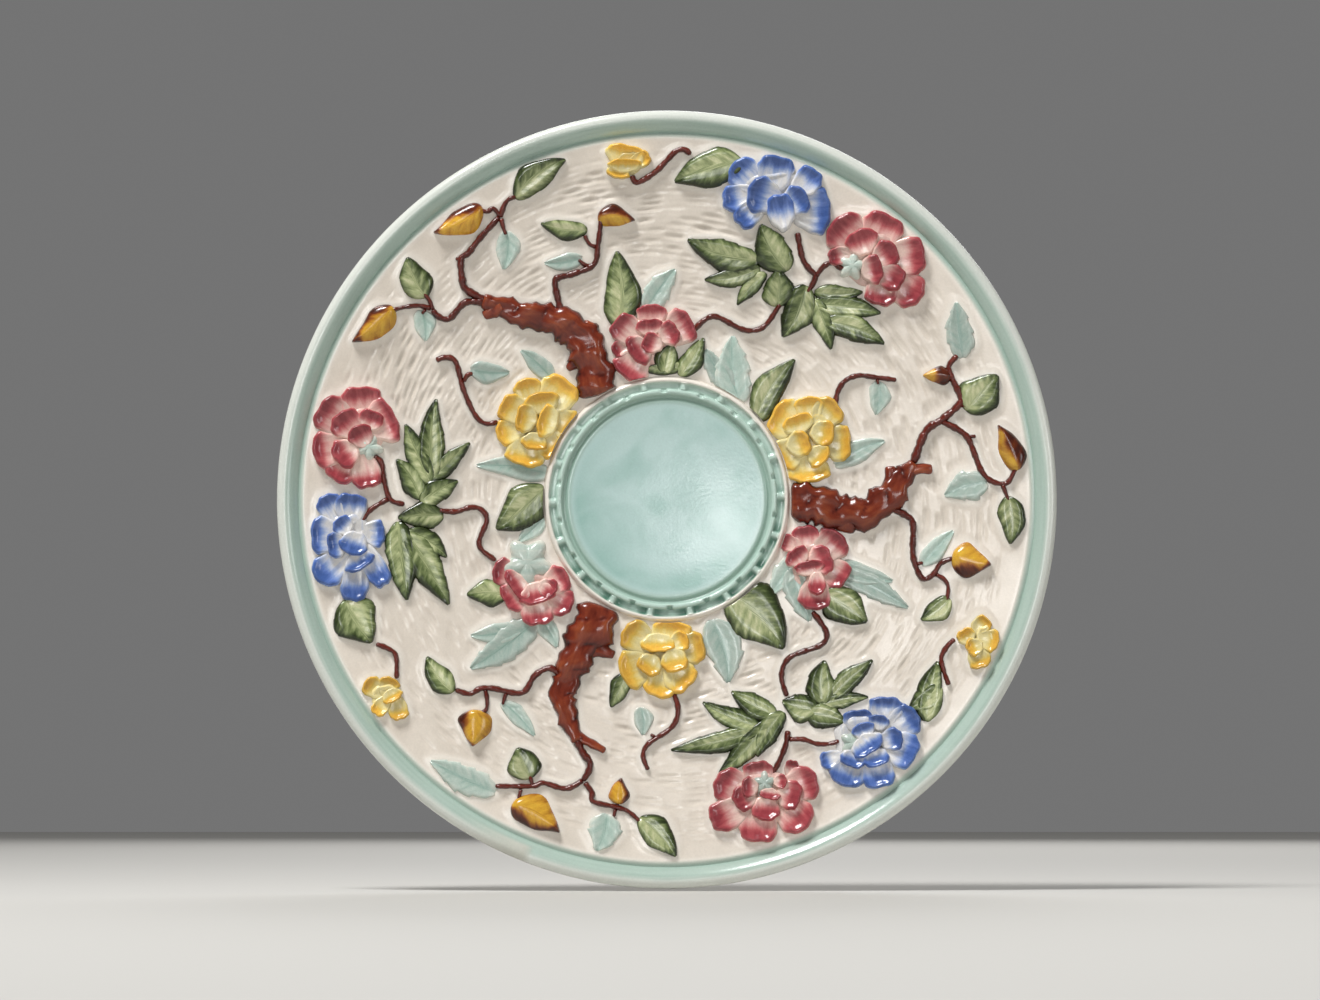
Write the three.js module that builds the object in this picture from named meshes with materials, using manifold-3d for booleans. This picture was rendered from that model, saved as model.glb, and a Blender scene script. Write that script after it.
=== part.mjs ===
// A round wall plaque of glazed earthenware, pressed in one mould with its relief of three flowering trees.
// The front faces -Y and the wall is the plane y = 0. The origin is on the back of the foot ring, at its top,
// where the plaque bears on the wall below its hanger. Sizes are in millimetres.

import * as THREE from "three";
import { mergeVertices } from "three/addons/utils/BufferGeometryUtils.js";
import Module from "manifold-3d";

// Driving dimensions: radii from the plaque's axis
const PLAQUE_RADIUS = 180;
const RIM_CREST_RADIUS = 175.5;
const RIM_LINE_RADIUS = 170;
const FIELD_OUTER_RADIUS = 167.5;
const FIELD_INNER_RADIUS = 57.5;
const RING_OUTER_RADIUS = 55.5;
const RING_INNER_RADIUS = 48.5;
const WELL_RADIUS = 46;
const FOOT_OUTER_RADIUS = 97;
const FOOT_INNER_RADIUS = 88;
const FOOT_MEAN_RADIUS = (FOOT_OUTER_RADIUS + FOOT_INNER_RADIUS) / 2;

// Driving dimensions: heights in front of the wall
const RIM_CREST_HEIGHT = 31;
const RIM_EDGE_HEIGHT = 27.5;
const FIELD_OUTER_HEIGHT = 27;
const FIELD_INNER_HEIGHT = 15;
const RING_HEIGHT = 17.3;
const WELL_HEIGHT = 13.8;
const RECESS_HEIGHT = 7;
const WALL_THICKNESS = 7.5;
const FIELD_CURVE = 1.4;
const SEGMENTS = 48;

// Small steps of the section
const WELL_LIP = 1.8;
const GROOVE_WIDTH = 1.2;
const GROOVE_DEPTH = 0.9;
const CHANNEL_SLOPE = 0.4;
const RIM_LINE_DEPTH = 0.4;
const RIM_SHOULDER_REACH = 1.8;
const RIM_SHOULDER_DROP = 1.6;
const RIM_UNDERCUT_REACH = 1.8;
const RIM_UNDERCUT_DROP = 4;
const FOOT_SLOPE = 2.5;
const FIELD_STATIONS = [FIELD_INNER_RADIUS, 95, 132, FIELD_OUTER_RADIUS];
const BACK_STATION = 168;

// The ring of short bars round the well
const BAR_COUNT = 18;
const BAR_TURN = THREE.MathUtils.degToRad(8.4);
const BAR_GAP = 2.8;
const BRIDGE_OVERLAP = 0.4;
const BRIDGE_CROWN = 0.2;
const BRIDGE_ROOT = 1;
const CHANNEL_DEPTH = 1.4;
const CHANNEL_INNER_RADIUS = 51;
const CHANNEL_OUTER_RADIUS = 54.6;

// Hanger holes, pierced along the radius through the foot ring near its top
const HANGER_HOLE_RADIUS = 1.75;
const HANGER_HOLE_HEIGHT = 4.5;
const HANGER_HOLE_ANGLE = THREE.MathUtils.degToRad(16);
const HANGER_HOLE_OVERRUN = 4;
const HANGER_HOLE_SIDES = 8;

// Relief: how far the figures stand out of the field, and how far they are rooted in it
const ROOT_DEPTH = 1.6;
const MOUND_DEPTH = 0.7;
const EDGE_DEPTH = 0.4;
const LEAF_LIFT = 2.4;
const LEAF_LIFT_PER_WIDTH = 0.1;
const BUD_LIFT = 2.4;
const BUD_LIFT_PER_WIDTH = 0.18;
const LIMB_LIFT = 1.6;
const LIMB_LIFT_PER_WIDTH = 0.22;
const LEAF_BREADTHS = [[0.16, 0.66], [0.42, 1], [0.74, 0.66]];
const BRANCH_STEP = 15.2;
const BRANCH_SIDES = 4;
const TRUNK_STEP = 10;
const TRUNK_SIDES = 6;
const SHOULDER_REACH = 0.8;
const SHOULDER_LIFT = 0.72;
const LEAST_PETAL_REACH = 0.7;
const OUTER_PETAL = { radius: 8.5, lift: 3.8, corners: 14 };
const INNER_PETAL = { radius: 6, lift: 5.8, corners: 7 };

// Places in the face of the plaque: x to the right and z up from its centre.
// Trunks and their stubs: stations of x, z and width along the middle.
const TRUNKS = [
  [[-31, 48, 19], [-34, 60, 18], [-37, 70, 18], [-44, 79, 17], [-55, 84, 12], [-66, 85, 11], [-85, 92, 7]],
  [[57, -2, 18], [68, -2, 19], [80, -6, 17], [92, -6.5, 15], [102, 0, 15], [108, 8, 12], [115, 17, 6]],
  [[-30, -49, 16], [-33, -57, 21], [-41, -71, 17], [-46, -84, 13], [-48, -93, 12], [-41, -113, 6]],
];
const STUBS = [
  [[-38, 74, 9], [-35, 84, 6]],
  [[-78, 90, 8], [-85.5, 84.5, 4]],
  [[-40, 66, 8], [-46.5, 60, 3]],
  [[104, 6, 8], [103.5, 15.5, 5]],
  [[112, 14, 7], [123.5, 14, 4]],
  [[84, -8, 12], [82, -16, 8]],
  [[-36, -67, 11], [-24, -73, 4]],
  [[-42, -110, 6], [-28, -117, 3]],
];

// Branches: width at the root, width at the end, and the way they take
const BRANCHES = [
  [3.6, 2.6, [-86, 93], [-93, 97], [-95, 104], [-95.5, 111], [-87, 120.5], [-77.5, 131]],
  [2.4, 1.8, [-77.5, 130], [-75.5, 136], [-69.5, 140]],
  [2.2, 1.8, [-77, 130.5], [-76, 126], [-74.5, 122]],
  [2.2, 1.8, [-77, 130.5], [-81, 134.5], [-83.5, 133], [-88, 134.5]],
  [3.4, 2.6, [-86, 93], [-95, 90], [-101, 83.5], [-106, 84.5], [-109, 88]],
  [2.4, 1.8, [-109, 88], [-115, 89.3], [-122, 88.5], [-129, 86.5]],
  [2.2, 1.8, [-108.5, 87], [-110, 91.5], [-113.5, 96]],
  [3, 2.2, [-49, 88], [-51.5, 99], [-44, 104.5], [-34, 109], [-32, 118], [-30.5, 130]],
  [2.6, 2.6, [-17, 151], [-14.5, 147], [-5, 152], [4, 161], [11.5, 159.5]],
  [2.8, 2.2, [-107.5, 64], [-98, 63.5], [-94.5, 51], [-89, 39], [-78, 36]],
  [2.8, 2.4, [60.5, 124], [63, 112], [69, 103], [65, 95]],
  [2.6, 2.2, [69, 103], [77, 109.5], [86, 106.5]],
  [2.6, 2.4, [12, 78], [23, 85], [34, 79.5], [46, 81], [53, 91]],
  [2.6, 2.2, [78, 43], [83, 55], [96, 56.5], [107, 55]],
  [3.8, 2.4, [114, 16], [120, 31], [130, 39.5], [136, 45], [131, 59], [135, 66.5]],
  [3, 2.2, [127, 36], [140, 27], [145, 13.5], [154, 6.5], [162, 15.5]],
  [2.2, 1.8, [155, 6.5], [158, -2]],
  [3.2, 2.2, [103, -4], [114, -12], [114, -27], [118, -37], [127, -30], [135, -27]],
  [2.2, 1.8, [124, -35], [130, -41], [129, -48.5]],
  [2.4, 2.2, [133, -65], [126.5, -74], [130, -87]],
  [2.6, 2.4, [67, -52], [74, -63], [58, -73], [53, -82], [55, -89]],
  [2.6, 2.4, [56, -107], [54, -115], [46.5, -129]],
  [2.4, 2.2, [56, -111.5], [69, -113.5], [80, -112]],
  [2.6, 2.4, [-135.5, 20], [-131, 9], [-128, -0.5], [-121, -3]],
  [2.4, 2.2, [-128.5, 0], [-137, -5.5], [-141, -11]],
  [2.6, 2.4, [-106, -5.5], [-91, -4], [-83.5, -10], [-87, -21.5], [-79, -29]],
  [2.4, 2.2, [-134.5, -67.5], [-125, -73], [-124.5, -84]],
  [3.4, 2.8, [-42, -111], [-35.5, -122], [-39, -131]],
  [2.8, 2.2, [-38.5, -130], [-48, -134], [-58, -131.5], [-79.5, -133]],
  [2.8, 2, [-38, -131], [-34, -140], [-18, -144.5], [-12, -149.5]],
  [3, 2.4, [-47, -83], [-57, -78.5], [-66, -90], [-80, -88], [-91, -90.5], [-98, -88.5]],
  [2.2, 1.8, [-84, -88], [-83.5, -97], [-88, -100]],
  [2.6, 2.2, [3, -89.5], [4.5, -102], [-8.5, -113.5], [-8.5, -126]],
];

// Leaves: x and z of the stalk end, x and z of the tip, and the greatest width
const GREEN_LEAVES = [
  [-69.5, 140.5, -46.5, 157.5, 13], [-112.5, 94.5, -120.5, 112, 14], [-38.5, 125, -59, 128, 9],
  [-22, 80.5, -23.3, 116, 16.5], [32, 157, 3, 146.5, 15], [-147, -48, -136, -67.5, 20],
  [118.5, -102, 123, -74.5, 15], [42, 111, 9, 121, 13], [42, 107, 17, 102, 9], [55, 107, 43.5, 128, 15],
  [51, 91, 52, 107, 14], [45, 104, 32.5, 90, 7], [70, 96, 91.5, 96, 8], [70, 90, 100, 86, 10],
  [74, 82, 101.5, 71.5, 11], [69, 92, 76.5, 69, 9], [64, 98, 53.5, 75, 14],
  [-107.5, 10, -106.8, 47, 11], [-110, 8, -121.5, 35, 10], [-115, 1, -125.5, 18.5, 10],
  [-110, 9, -91, 26.5, 8], [-113, -1, -96.5, 8.5, 10], [-105, -8, -125, -9, 11],
  [-124, -12, -120, -48, 13], [-120, -16, -100.5, -50, 13], [-119, -16, -101.5, -27.5, 9],
  [68, -97.5, 53, -93.5, 12], [72, -94, 73, -74.5, 12], [76, -92, 95.5, -74.5, 9],
  [71, -96, 93.5, -92, 7], [66, -99.5, 83, -103.5, 11], [49, -99.5, 29.5, -89, 10],
  [42, -105, 16, -94, 9], [43, -107, 1, -116.5, 9], [45, -104, 23.5, -127.5, 10],
  [53, -100, 41.5, -120, 10], [-57.5, 4.5, -79.5, -14.5, 19], [42, 37, 60, 65.5, 14],
  [29, -43, 54.6, -70, 25], [74, -44.5, 93, -57.5, 17], [-76, -45, -93, -44.5, 12],
  [-19, -82, -26, -97, 9], [-1, 60, 2.5, 73, 11], [7, 58.5, 17.5, 75.5, 10], [7, 58, -12.5, 58, 6],
  [139.5, 41.5, 153.5, 57, 18], [157.5, -1, 158.5, -22, 12], [129.5, -47.5, 117, -56.5, 10],
  [-99.5, -88.5, -111, -73, 11], [-63.5, -128, -69, -115, 15], [-11.5, -148.5, 4.5, -165.5, 13],
];
const BLUE_LEAVES = [
  [-74.5, 123, -76, 106, 11], [-40.5, 112, -57.5, 109.5, 8], [-114, 86, -112, 72.5, 10],
  [-90, 60, -72.5, 59, 10], [-54, 56, -68.5, 69.5, 9], [-54, 11, -89.5, 15.5, 11],
  [-9, 89, 4.5, 107.5, 13], [34, 46, 31, 77, 18], [30, 52, 17.5, 70.5, 12], [98, 53, 97, 38.5, 10],
  [79, 16, 102, 27, 11], [137, 66, 134, 91.5, 13.5], [147, 6.5, 128, 1, 15],
  [118.5, -30, 133, -14.5, 9], [80, -34, 112.5, -51.5, 12], [79, -31, 105.5, -38.5, 10],
  [58, -33, 66.5, -57.5, 15], [60, -27, 47.5, -45, 12], [21, -57, 28.5, -86, 19],
  [-12, -98, -11, -110, 9], [-28, -147, -32.5, -163, 16], [-79.5, -135.5, -109.5, -121, 14],
  [-75.5, -95, -60.5, -110.5, 8], [-61, -57, -91.5, -79.5, 16], [-68, -60, -91.5, -63.5, 10],
  [-59, -56, -50.5, -69.5, 9], [-57, -8, -69.5, -20.5, 8], [-62, -24, -79.5, -25, 9],
  [-66, -26, -52.5, -30.5, 8], [-66, -24, -64, -38.5, 8],
];
const BUDS = [
  [-87, 134.3, -108.5, 123, 12], [-128, 87.5, -146, 72, 12], [-30.5, 131, -14.5, 129.5, 10],
  [130, 56, 118.5, 57, 8], [161.5, 14, 153, 34, 11], [133.5, -27, 150, -31, 15],
  [-88, -99.5, -89.5, -115, 15], [-69.5, -141.5, -50, -153.5, 15], [-22, -139.5, -21, -129, 9],
];

// Flowers: the middles of the outer petals, then of the inner ones that lie on them
const FLOWERS = [
  {
    outer: [[35, 149], [50, 151], [64, 145], [68, 134], [34, 138], [42, 132]],
    inner: [[46, 141], [53, 134], [60, 138]],
  },
  {
    outer: [[-149, -6], [-158, -16], [-154, -33], [-144, -39], [-136, -34], [-134, -22]],
    inner: [[-150, -15], [-144, -24], [-153, -23]],
  },
  {
    outer: [[101, -98], [108, -104], [106, -117], [97, -126], [84, -125], [78, -118], [88, -103]],
    inner: [[91, -108], [102, -110], [92, -117]],
  },
  {
    outer: [[84, 122], [99, 124], [111, 113], [112, 98], [100, 97], [82, 113]],
    inner: [[91, 118], [101, 112], [104, 103], [95, 107]],
  },
  {
    outer: [[-142, 43], [-153, 38], [-155, 23], [-148, 14], [-139, 12], [-132, 36]],
    inner: [[-147, 33], [-138, 36], [-147, 22]],
  },
  {
    outer: [[29, -132], [27, -145], [42, -151], [60, -144], [62, -131], [45, -129]],
    inner: [[36, -138], [45, -142], [56, -137]],
  },
  { outer: [[-8, 83], [4, 79], [-18, 79], [-20, 70], [-16, 63]], inner: [[-5, 77], [-12, 70], [-7, 72]] },
  { outer: [[-72, -37], [-70, -46], [-59, -51], [-50, -47], [-51, -37]], inner: [[-59, -42], [-67, -41]] },
  { outer: [[65, -20], [75, -22], [58, -22], [77, -34], [68, -44]], inner: [[61, -27], [71, -28], [66, -33]] },
  {
    outer: [[-59, 50], [-50, 47], [-50, 36], [-53, 25], [-63, 22], [-71, 25], [-72, 33], [-70, 43]],
    inner: [[-62, 42], [-56, 36], [-62, 28]],
  },
  {
    outer: [[64, 41], [74, 40], [78, 29], [74, 19], [65, 16], [56, 34], [55, 24]],
    inner: [[62, 35], [72, 31], [64, 26]],
  },
  {
    outer: [[-13, -66], [2, -64], [10, -70], [-14, -79], [1, -85], [-8, -84]],
    inner: [[-5, -70], [-8, -77], [4, -75]],
  },
];
const SMALL_FLOWERS = [
  { outer: [[-24, 159], [-23.5, 153], [-13, 157]], inner: [[-19, 156]] },
  { outer: [[-135, -88], [-125.5, -87], [-133, -97], [-123.5, -98]], inner: [[-129, -92]] },
  { outer: [[144, -60], [147, -68], [140, -66], [143, -74]], inner: [[143, -67]] },
];
const SMALL_OUTER_PETAL = { radius: 5, lift: 2.6, corners: 9 };
const SMALL_INNER_PETAL = { radius: 3.5, lift: 3.8, corners: 5 };

/** Height of the field in front of the wall, at a distance from the axis: low at the ring, high at the rim. */
function fieldHeight(radius) {
  const share = (radius - FIELD_INNER_RADIUS) / (FIELD_OUTER_RADIUS - FIELD_INNER_RADIUS);
  const rise = FIELD_OUTER_HEIGHT - FIELD_INNER_HEIGHT;
  return FIELD_INNER_HEIGHT + rise * THREE.MathUtils.clamp(share, 0, 1) ** FIELD_CURVE;
}

/** A point of the relief, given by its place in the face and its lift above the field. */
function onField(x, z, lift) {
  return [x, -(fieldHeight(Math.hypot(x, z)) + lift), z];
}

/** The section of the plaque from the middle of the front, round the rim, to the middle of the back. */
function sectionProfile() {
  const front = [
    [0, WELL_HEIGHT],
    [WELL_RADIUS, WELL_HEIGHT + WELL_LIP],
    [WELL_RADIUS + GROOVE_WIDTH, WELL_HEIGHT + WELL_LIP - GROOVE_DEPTH],
    [RING_INNER_RADIUS, RING_HEIGHT],
    [CHANNEL_INNER_RADIUS, RING_HEIGHT],
    [CHANNEL_INNER_RADIUS + CHANNEL_SLOPE, RING_HEIGHT - CHANNEL_DEPTH],
    [CHANNEL_OUTER_RADIUS - CHANNEL_SLOPE, RING_HEIGHT - CHANNEL_DEPTH],
    [CHANNEL_OUTER_RADIUS, RING_HEIGHT],
    [RING_OUTER_RADIUS, RING_HEIGHT],
    ...FIELD_STATIONS.map((radius) => [radius, fieldHeight(radius)]),
    [RIM_LINE_RADIUS, FIELD_OUTER_HEIGHT - RIM_LINE_DEPTH],
    [RIM_LINE_RADIUS + RIM_SHOULDER_REACH, RIM_CREST_HEIGHT - RIM_SHOULDER_DROP],
    [RIM_CREST_RADIUS, RIM_CREST_HEIGHT],
  ];
  const back = [
    [PLAQUE_RADIUS, RIM_EDGE_HEIGHT],
    [PLAQUE_RADIUS - RIM_UNDERCUT_REACH, RIM_EDGE_HEIGHT - RIM_UNDERCUT_DROP],
    [BACK_STATION, fieldHeight(BACK_STATION) - WALL_THICKNESS],
    [FOOT_OUTER_RADIUS + FOOT_SLOPE, fieldHeight(FOOT_OUTER_RADIUS) - WALL_THICKNESS],
    [FOOT_OUTER_RADIUS, 0],
    [FOOT_INNER_RADIUS, 0],
    [FOOT_INNER_RADIUS - FOOT_SLOPE, RECESS_HEIGHT],
    [0, RECESS_HEIGHT],
  ];
  return [...front, ...back].map(([radius, height]) => new THREE.Vector2(radius, -height));
}

/** Section of a petal tier from its crown: a rounded shoulder, then a steep edge rooted in the field. */
function tierSection(lift) {
  return [[0, lift], [SHOULDER_REACH, lift * SHOULDER_LIFT], [1, -ROOT_DEPTH], [0, -ROOT_DEPTH]];
}

/** Section of a low mound from its crown: one even slope that meets the field at the outline. */
function moundSection(lift) {
  return [[0, lift], [1 + MOUND_DEPTH / lift, -MOUND_DEPTH], [0, -MOUND_DEPTH]];
}

/** The middle of a ring of points. */
function middleOf(points) {
  const sum = points.reduce((total, point) => total.add(point), new THREE.Vector2());
  return sum.divideScalar(points.length);
}

/** A raised figure over an outline: its section is carried from the middle out to each corner. */
function cushion(outline, section) {
  const corners = THREE.ShapeUtils.isClockWise(outline) ? outline : outline.toReversed();
  const profile = section.map(([reach, height]) => new THREE.Vector2(reach, -height));
  const geometry = new THREE.LatheGeometry(profile, corners.length);
  const middle = middleOf(corners);
  const position = geometry.attributes.position;
  for (let index = 0; index < position.count; index += 1) {
    const corner = corners[Math.floor(index / section.length) % corners.length];
    const [reach, height] = section[index % section.length];
    const place = middle.clone().lerp(corner, reach);
    position.setXYZ(index, ...onField(place.x, place.y, height));
  }
  return geometry;
}

/** Outline of a leaf from its stalk end to its tip: pointed at both ends and widest below the middle. */
function leafOutline([stalkX, stalkZ, tipX, tipZ, width]) {
  const stalk = new THREE.Vector2(stalkX, stalkZ);
  const along = new THREE.Vector2(tipX, tipZ).sub(stalk);
  const across = new THREE.Vector2(-along.y, along.x).normalize();
  const edgePoint = ([share, breadth], side) =>
    stalk.clone().addScaledVector(along, share).addScaledVector(across, (side * breadth * width) / 2);
  const left = LEAF_BREADTHS.map((station) => edgePoint(station, 1));
  const right = LEAF_BREADTHS.toReversed().map((station) => edgePoint(station, -1));
  return [stalk, ...left, new THREE.Vector2(tipX, tipZ), ...right];
}

/** Outline of overlapping round petals: the farthest petal edge that each ray from the middle meets. */
function petalOutline(petals, { radius, corners }) {
  const places = petals.map(([x, z]) => new THREE.Vector2(x, z));
  const middle = middleOf(places);
  return Array.from({ length: corners }, (_, index) => {
    const angle = (2 * Math.PI * index) / corners;
    const ray = new THREE.Vector2(Math.cos(angle), Math.sin(angle));
    const reaches = places.map((place) => {
      const arm = place.clone().sub(middle);
      const along = arm.dot(ray);
      const off = arm.cross(ray);
      return Math.abs(off) < radius ? along + Math.sqrt(radius * radius - off * off) : 0;
    });
    return middle.clone().addScaledVector(ray, Math.max(radius * LEAST_PETAL_REACH, ...reaches));
  });
}

/** A flower in two tiers of petals. */
function flower({ outer, inner }, outerPetal, innerPetal) {
  return [
    cushion(petalOutline(outer, outerPetal), tierSection(outerPetal.lift)),
    cushion(petalOutline(inner, innerPetal), tierSection(innerPetal.lift)),
  ];
}

/** A trunk or branch lying on the field: a tapered roll along a smooth line through its stations. */
function limb(stations, step, sides) {
  const line = new THREE.CatmullRomCurve3(stations.map(([x, z, width]) => new THREE.Vector3(x, z, width)));
  const steps = Math.max(1, Math.round(line.getLength() / step));
  const geometry = new THREE.CylinderGeometry(1, 1, 1, sides, steps);
  const position = geometry.attributes.position;
  for (let index = 0; index < position.count; index += 1) {
    const share = 0.5 - position.getY(index);
    const across = position.getX(index);
    const up = position.getZ(index);
    const { x, y: z, z: width } = line.getPoint(share);
    const tangent = line.getTangent(share);
    const side = new THREE.Vector2(-tangent.y, tangent.x).normalize().multiplyScalar((across * width) / 2);
    const lift = LIMB_LIFT + LIMB_LIFT_PER_WIDTH * width;
    const height = up < -0.01 ? -ROOT_DEPTH : up * lift - EDGE_DEPTH;
    position.setXYZ(index, ...onField(x + side.x, z + side.y, height));
  }
  return geometry;
}

/** Stations of a branch that tapers evenly from its root width to its end width. */
function branchStations([rootWidth, endWidth, ...way]) {
  const last = way.length - 1;
  return way.map(([x, z], index) => [x, z, THREE.MathUtils.lerp(rootWidth, endWidth, index / last)]);
}

/** One of the raised bridges that part the channel of the ring into short bars. */
function ringBridge(index) {
  const depth = RING_HEIGHT - FIELD_INNER_HEIGHT + BRIDGE_ROOT;
  const length = CHANNEL_OUTER_RADIUS - CHANNEL_INNER_RADIUS + 2 * BRIDGE_OVERLAP;
  const radius = (CHANNEL_INNER_RADIUS + CHANNEL_OUTER_RADIUS) / 2;
  const bridge = new THREE.BoxGeometry(BAR_GAP, depth, length);
  bridge.translate(0, depth / 2 - RING_HEIGHT + BRIDGE_CROWN, radius);
  return bridge.rotateY((2 * Math.PI * index) / BAR_COUNT + BAR_TURN);
}

/** A hole through the foot ring for a hanging wire, on the side given by its angle from the top. */
function hangerHole(angle) {
  const length = FOOT_OUTER_RADIUS - FOOT_INNER_RADIUS + 2 * HANGER_HOLE_OVERRUN;
  const hole = new THREE.CylinderGeometry(HANGER_HOLE_RADIUS, HANGER_HOLE_RADIUS, length, HANGER_HOLE_SIDES);
  hole.rotateX(Math.PI / 2).translate(0, -HANGER_HOLE_HEIGHT, FOOT_MEAN_RADIUS);
  return hole.rotateY(angle);
}

const wasm = await Module();
wasm.setup();

/** A closed geometry as a solid that can be joined and cut. */
function toSolid(geometry) {
  geometry.deleteAttribute("normal");
  geometry.deleteAttribute("uv");
  const merged = mergeVertices(geometry);
  const vertProperties = new Float32Array(merged.attributes.position.array);
  const triVerts = new Uint32Array(merged.index.array);
  return new wasm.Manifold(new wasm.Mesh({ numProp: 3, vertProperties, triVerts }));
}

/** A solid as a geometry again. */
function toGeometry(solid) {
  const mesh = solid.getMesh();
  const geometry = new THREE.BufferGeometry();
  geometry.setAttribute("position", new THREE.BufferAttribute(mesh.vertProperties, 3));
  geometry.setIndex(new THREE.BufferAttribute(mesh.triVerts, 1));
  geometry.computeVertexNormals();
  return geometry;
}

/** A leaf: the wider it is, the higher it stands. */
function leafMound(leaf) {
  const width = leaf[4];
  return cushion(leafOutline(leaf), moundSection(LEAF_LIFT + LEAF_LIFT_PER_WIDTH * width));
}

/** A bud: a plumper leaf. */
function budMound(bud) {
  const width = bud[4];
  return cushion(leafOutline(bud), moundSection(BUD_LIFT + BUD_LIFT_PER_WIDTH * width));
}

const figures = [
  ...Array.from({ length: BAR_COUNT }, (_, index) => ringBridge(index)),
  ...TRUNKS.map((trunk) => limb(trunk, TRUNK_STEP, TRUNK_SIDES)),
  ...STUBS.map((stub) => limb(stub, TRUNK_STEP, BRANCH_SIDES)),
  ...BRANCHES.map((branch) => limb(branchStations(branch), BRANCH_STEP, BRANCH_SIDES)),
  ...GREEN_LEAVES.map(leafMound),
  ...BLUE_LEAVES.map(leafMound),
  ...BUDS.map(budMound),
  ...FLOWERS.flatMap((bloom) => flower(bloom, OUTER_PETAL, INNER_PETAL)),
  ...SMALL_FLOWERS.flatMap((bloom) => flower(bloom, SMALL_OUTER_PETAL, SMALL_INNER_PETAL)),
];
const holes = [-HANGER_HOLE_ANGLE, HANGER_HOLE_ANGLE].map(hangerHole);

const dish = toSolid(new THREE.LatheGeometry(sectionProfile(), SEGMENTS));
const modelled = figures.reduce((solid, figure) => solid.add(toSolid(figure)), dish);
const pierced = holes.reduce((solid, hole) => solid.subtract(toSolid(hole)), modelled);

const earthenware = new THREE.MeshStandardMaterial({ color: 0xe9e1d2, roughness: 0.22, metalness: 0 });
const plaque = new THREE.Mesh(toGeometry(pierced), earthenware);
plaque.name = "plaque";
plaque.position.set(0, 0, -FOOT_MEAN_RADIUS);

const part = new THREE.Group();
part.add(plaque);

export default part;
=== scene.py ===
import bpy
import numpy as np
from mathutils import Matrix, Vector


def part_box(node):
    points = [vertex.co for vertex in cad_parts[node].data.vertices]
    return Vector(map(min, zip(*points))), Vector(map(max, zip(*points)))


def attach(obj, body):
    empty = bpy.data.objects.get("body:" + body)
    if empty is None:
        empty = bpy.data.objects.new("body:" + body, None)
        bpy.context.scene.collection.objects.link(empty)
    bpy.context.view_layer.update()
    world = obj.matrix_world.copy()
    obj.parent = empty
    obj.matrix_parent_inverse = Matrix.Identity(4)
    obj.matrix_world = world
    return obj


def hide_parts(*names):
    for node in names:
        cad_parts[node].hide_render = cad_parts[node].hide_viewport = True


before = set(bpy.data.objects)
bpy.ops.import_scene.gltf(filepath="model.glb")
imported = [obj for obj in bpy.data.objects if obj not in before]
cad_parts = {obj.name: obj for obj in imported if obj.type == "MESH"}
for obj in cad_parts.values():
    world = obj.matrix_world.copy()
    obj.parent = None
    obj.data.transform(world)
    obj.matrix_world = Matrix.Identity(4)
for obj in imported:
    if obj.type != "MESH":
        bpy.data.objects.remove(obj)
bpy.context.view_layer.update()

# The dish: the plaque's own body, a shallow round charger of cream earthenware pressed
# in a mould. The field is scraped in short strokes that follow the round. Rim, ring
# and well are brushed blue-green, and all of it lies under one clear gloss glaze.
MM = 0.001
plaque_low, plaque_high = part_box("plaque")
CENTRE_Z = (plaque_low[2] + plaque_high[2]) / 2 / MM
FIELD_INNER_RADIUS = 57.5
FIELD_OUTER_RADIUS = 167.5
FIELD_INNER_HEIGHT = 15
FIELD_OUTER_HEIGHT = 27
FIELD_CURVE = 1.4
DISH_COLUMNS = 540
# Radii and heights of the section's corners: front from the middle out, rim, and back towards the middle.
WELL_AND_RING = [
    (0, 13.4), (16, 13.4), (30, 14.1), (42, 15.2), (45.5, 15.6), (46.5, 15.4), (47.1, 14.8), (47.9, 14.8),
    (48.4, 15.5), (48.9, 17), (49.9, 17.5), (50.9, 17.3), (51.3, 16), (51.9, 15.7), (53.9, 15.7), (54.4, 16),
    (54.8, 17.2), (55.6, 17.5), (56.5, 16.8), (57.2, 15.1), (58, 13.4), (62, 13.2),
]
RIM = [
    (165, 24.8), (168.6, 25.2), (169.6, 25.6), (170.2, 26.4), (170.9, 27.4), (172.4, 28.9), (174.4, 30.4),
    (176.4, 31), (178.4, 30.5), (179.8, 29.2), (180.1, 27.4), (179.4, 25), (177, 22.8),
]
BACK = [(172, 20.6), (150, 16.9), (125, 13.6), (99.5, 10.4), (92.5, 8.6), (85, 7), (60, 7), (24, 7), (0, 7)]
BED_RADII = (80, 110, 140)
BED_DEPTH = 1.6
FRONT_STEPS = 4
BACK_STEPS = 2
BAR_COUNT = 18
BAR_TURN = np.radians(8.4)
BRIDGE_WIDTH = 2.8
BRIDGE_SOFTNESS = 0.7
BRIDGE_RISE = 1.4
NOTCH_WIDTH = 2.6
NOTCH_SOFTNESS = 0.6
NOTCH_DEPTH = 1.2
LIP_INNER_FADE = (49.2, 50.2)
LIP_OUTER_FADE = (51.8, 51)
CHANNEL_MIDDLE = 53
CHANNEL_WIDTH = 3.4
CHANNEL_SOFTNESS = 0.4
DENT_PLACE = (-62.5, -163.2)
DENT_HALF_WIDTH = 1.9
DENT_HALF_LENGTH = 3.2
DENT_DEPTH = 0.9
THIN_BAND_RADII = (171.5, 173.5)
THIN_BAND_START_MM = (0, 2)
THIN_BAND_END_MM = (40, 4)
# Painted shade: the ring's bars are painted darkest towards the bottom of the round and fainter at the top,
# as light falls.
BAR_SHADE_TURN = np.radians(172)
BAR_SHADE_LEAST = 0.25
BAR_SHADE_FADE = (-0.4, 0.7)
BAR_MIDDLE_PAINT = 0.5
BAR_END_MM = (2, 6)
NOTCH_PAINT = 0.7
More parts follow.
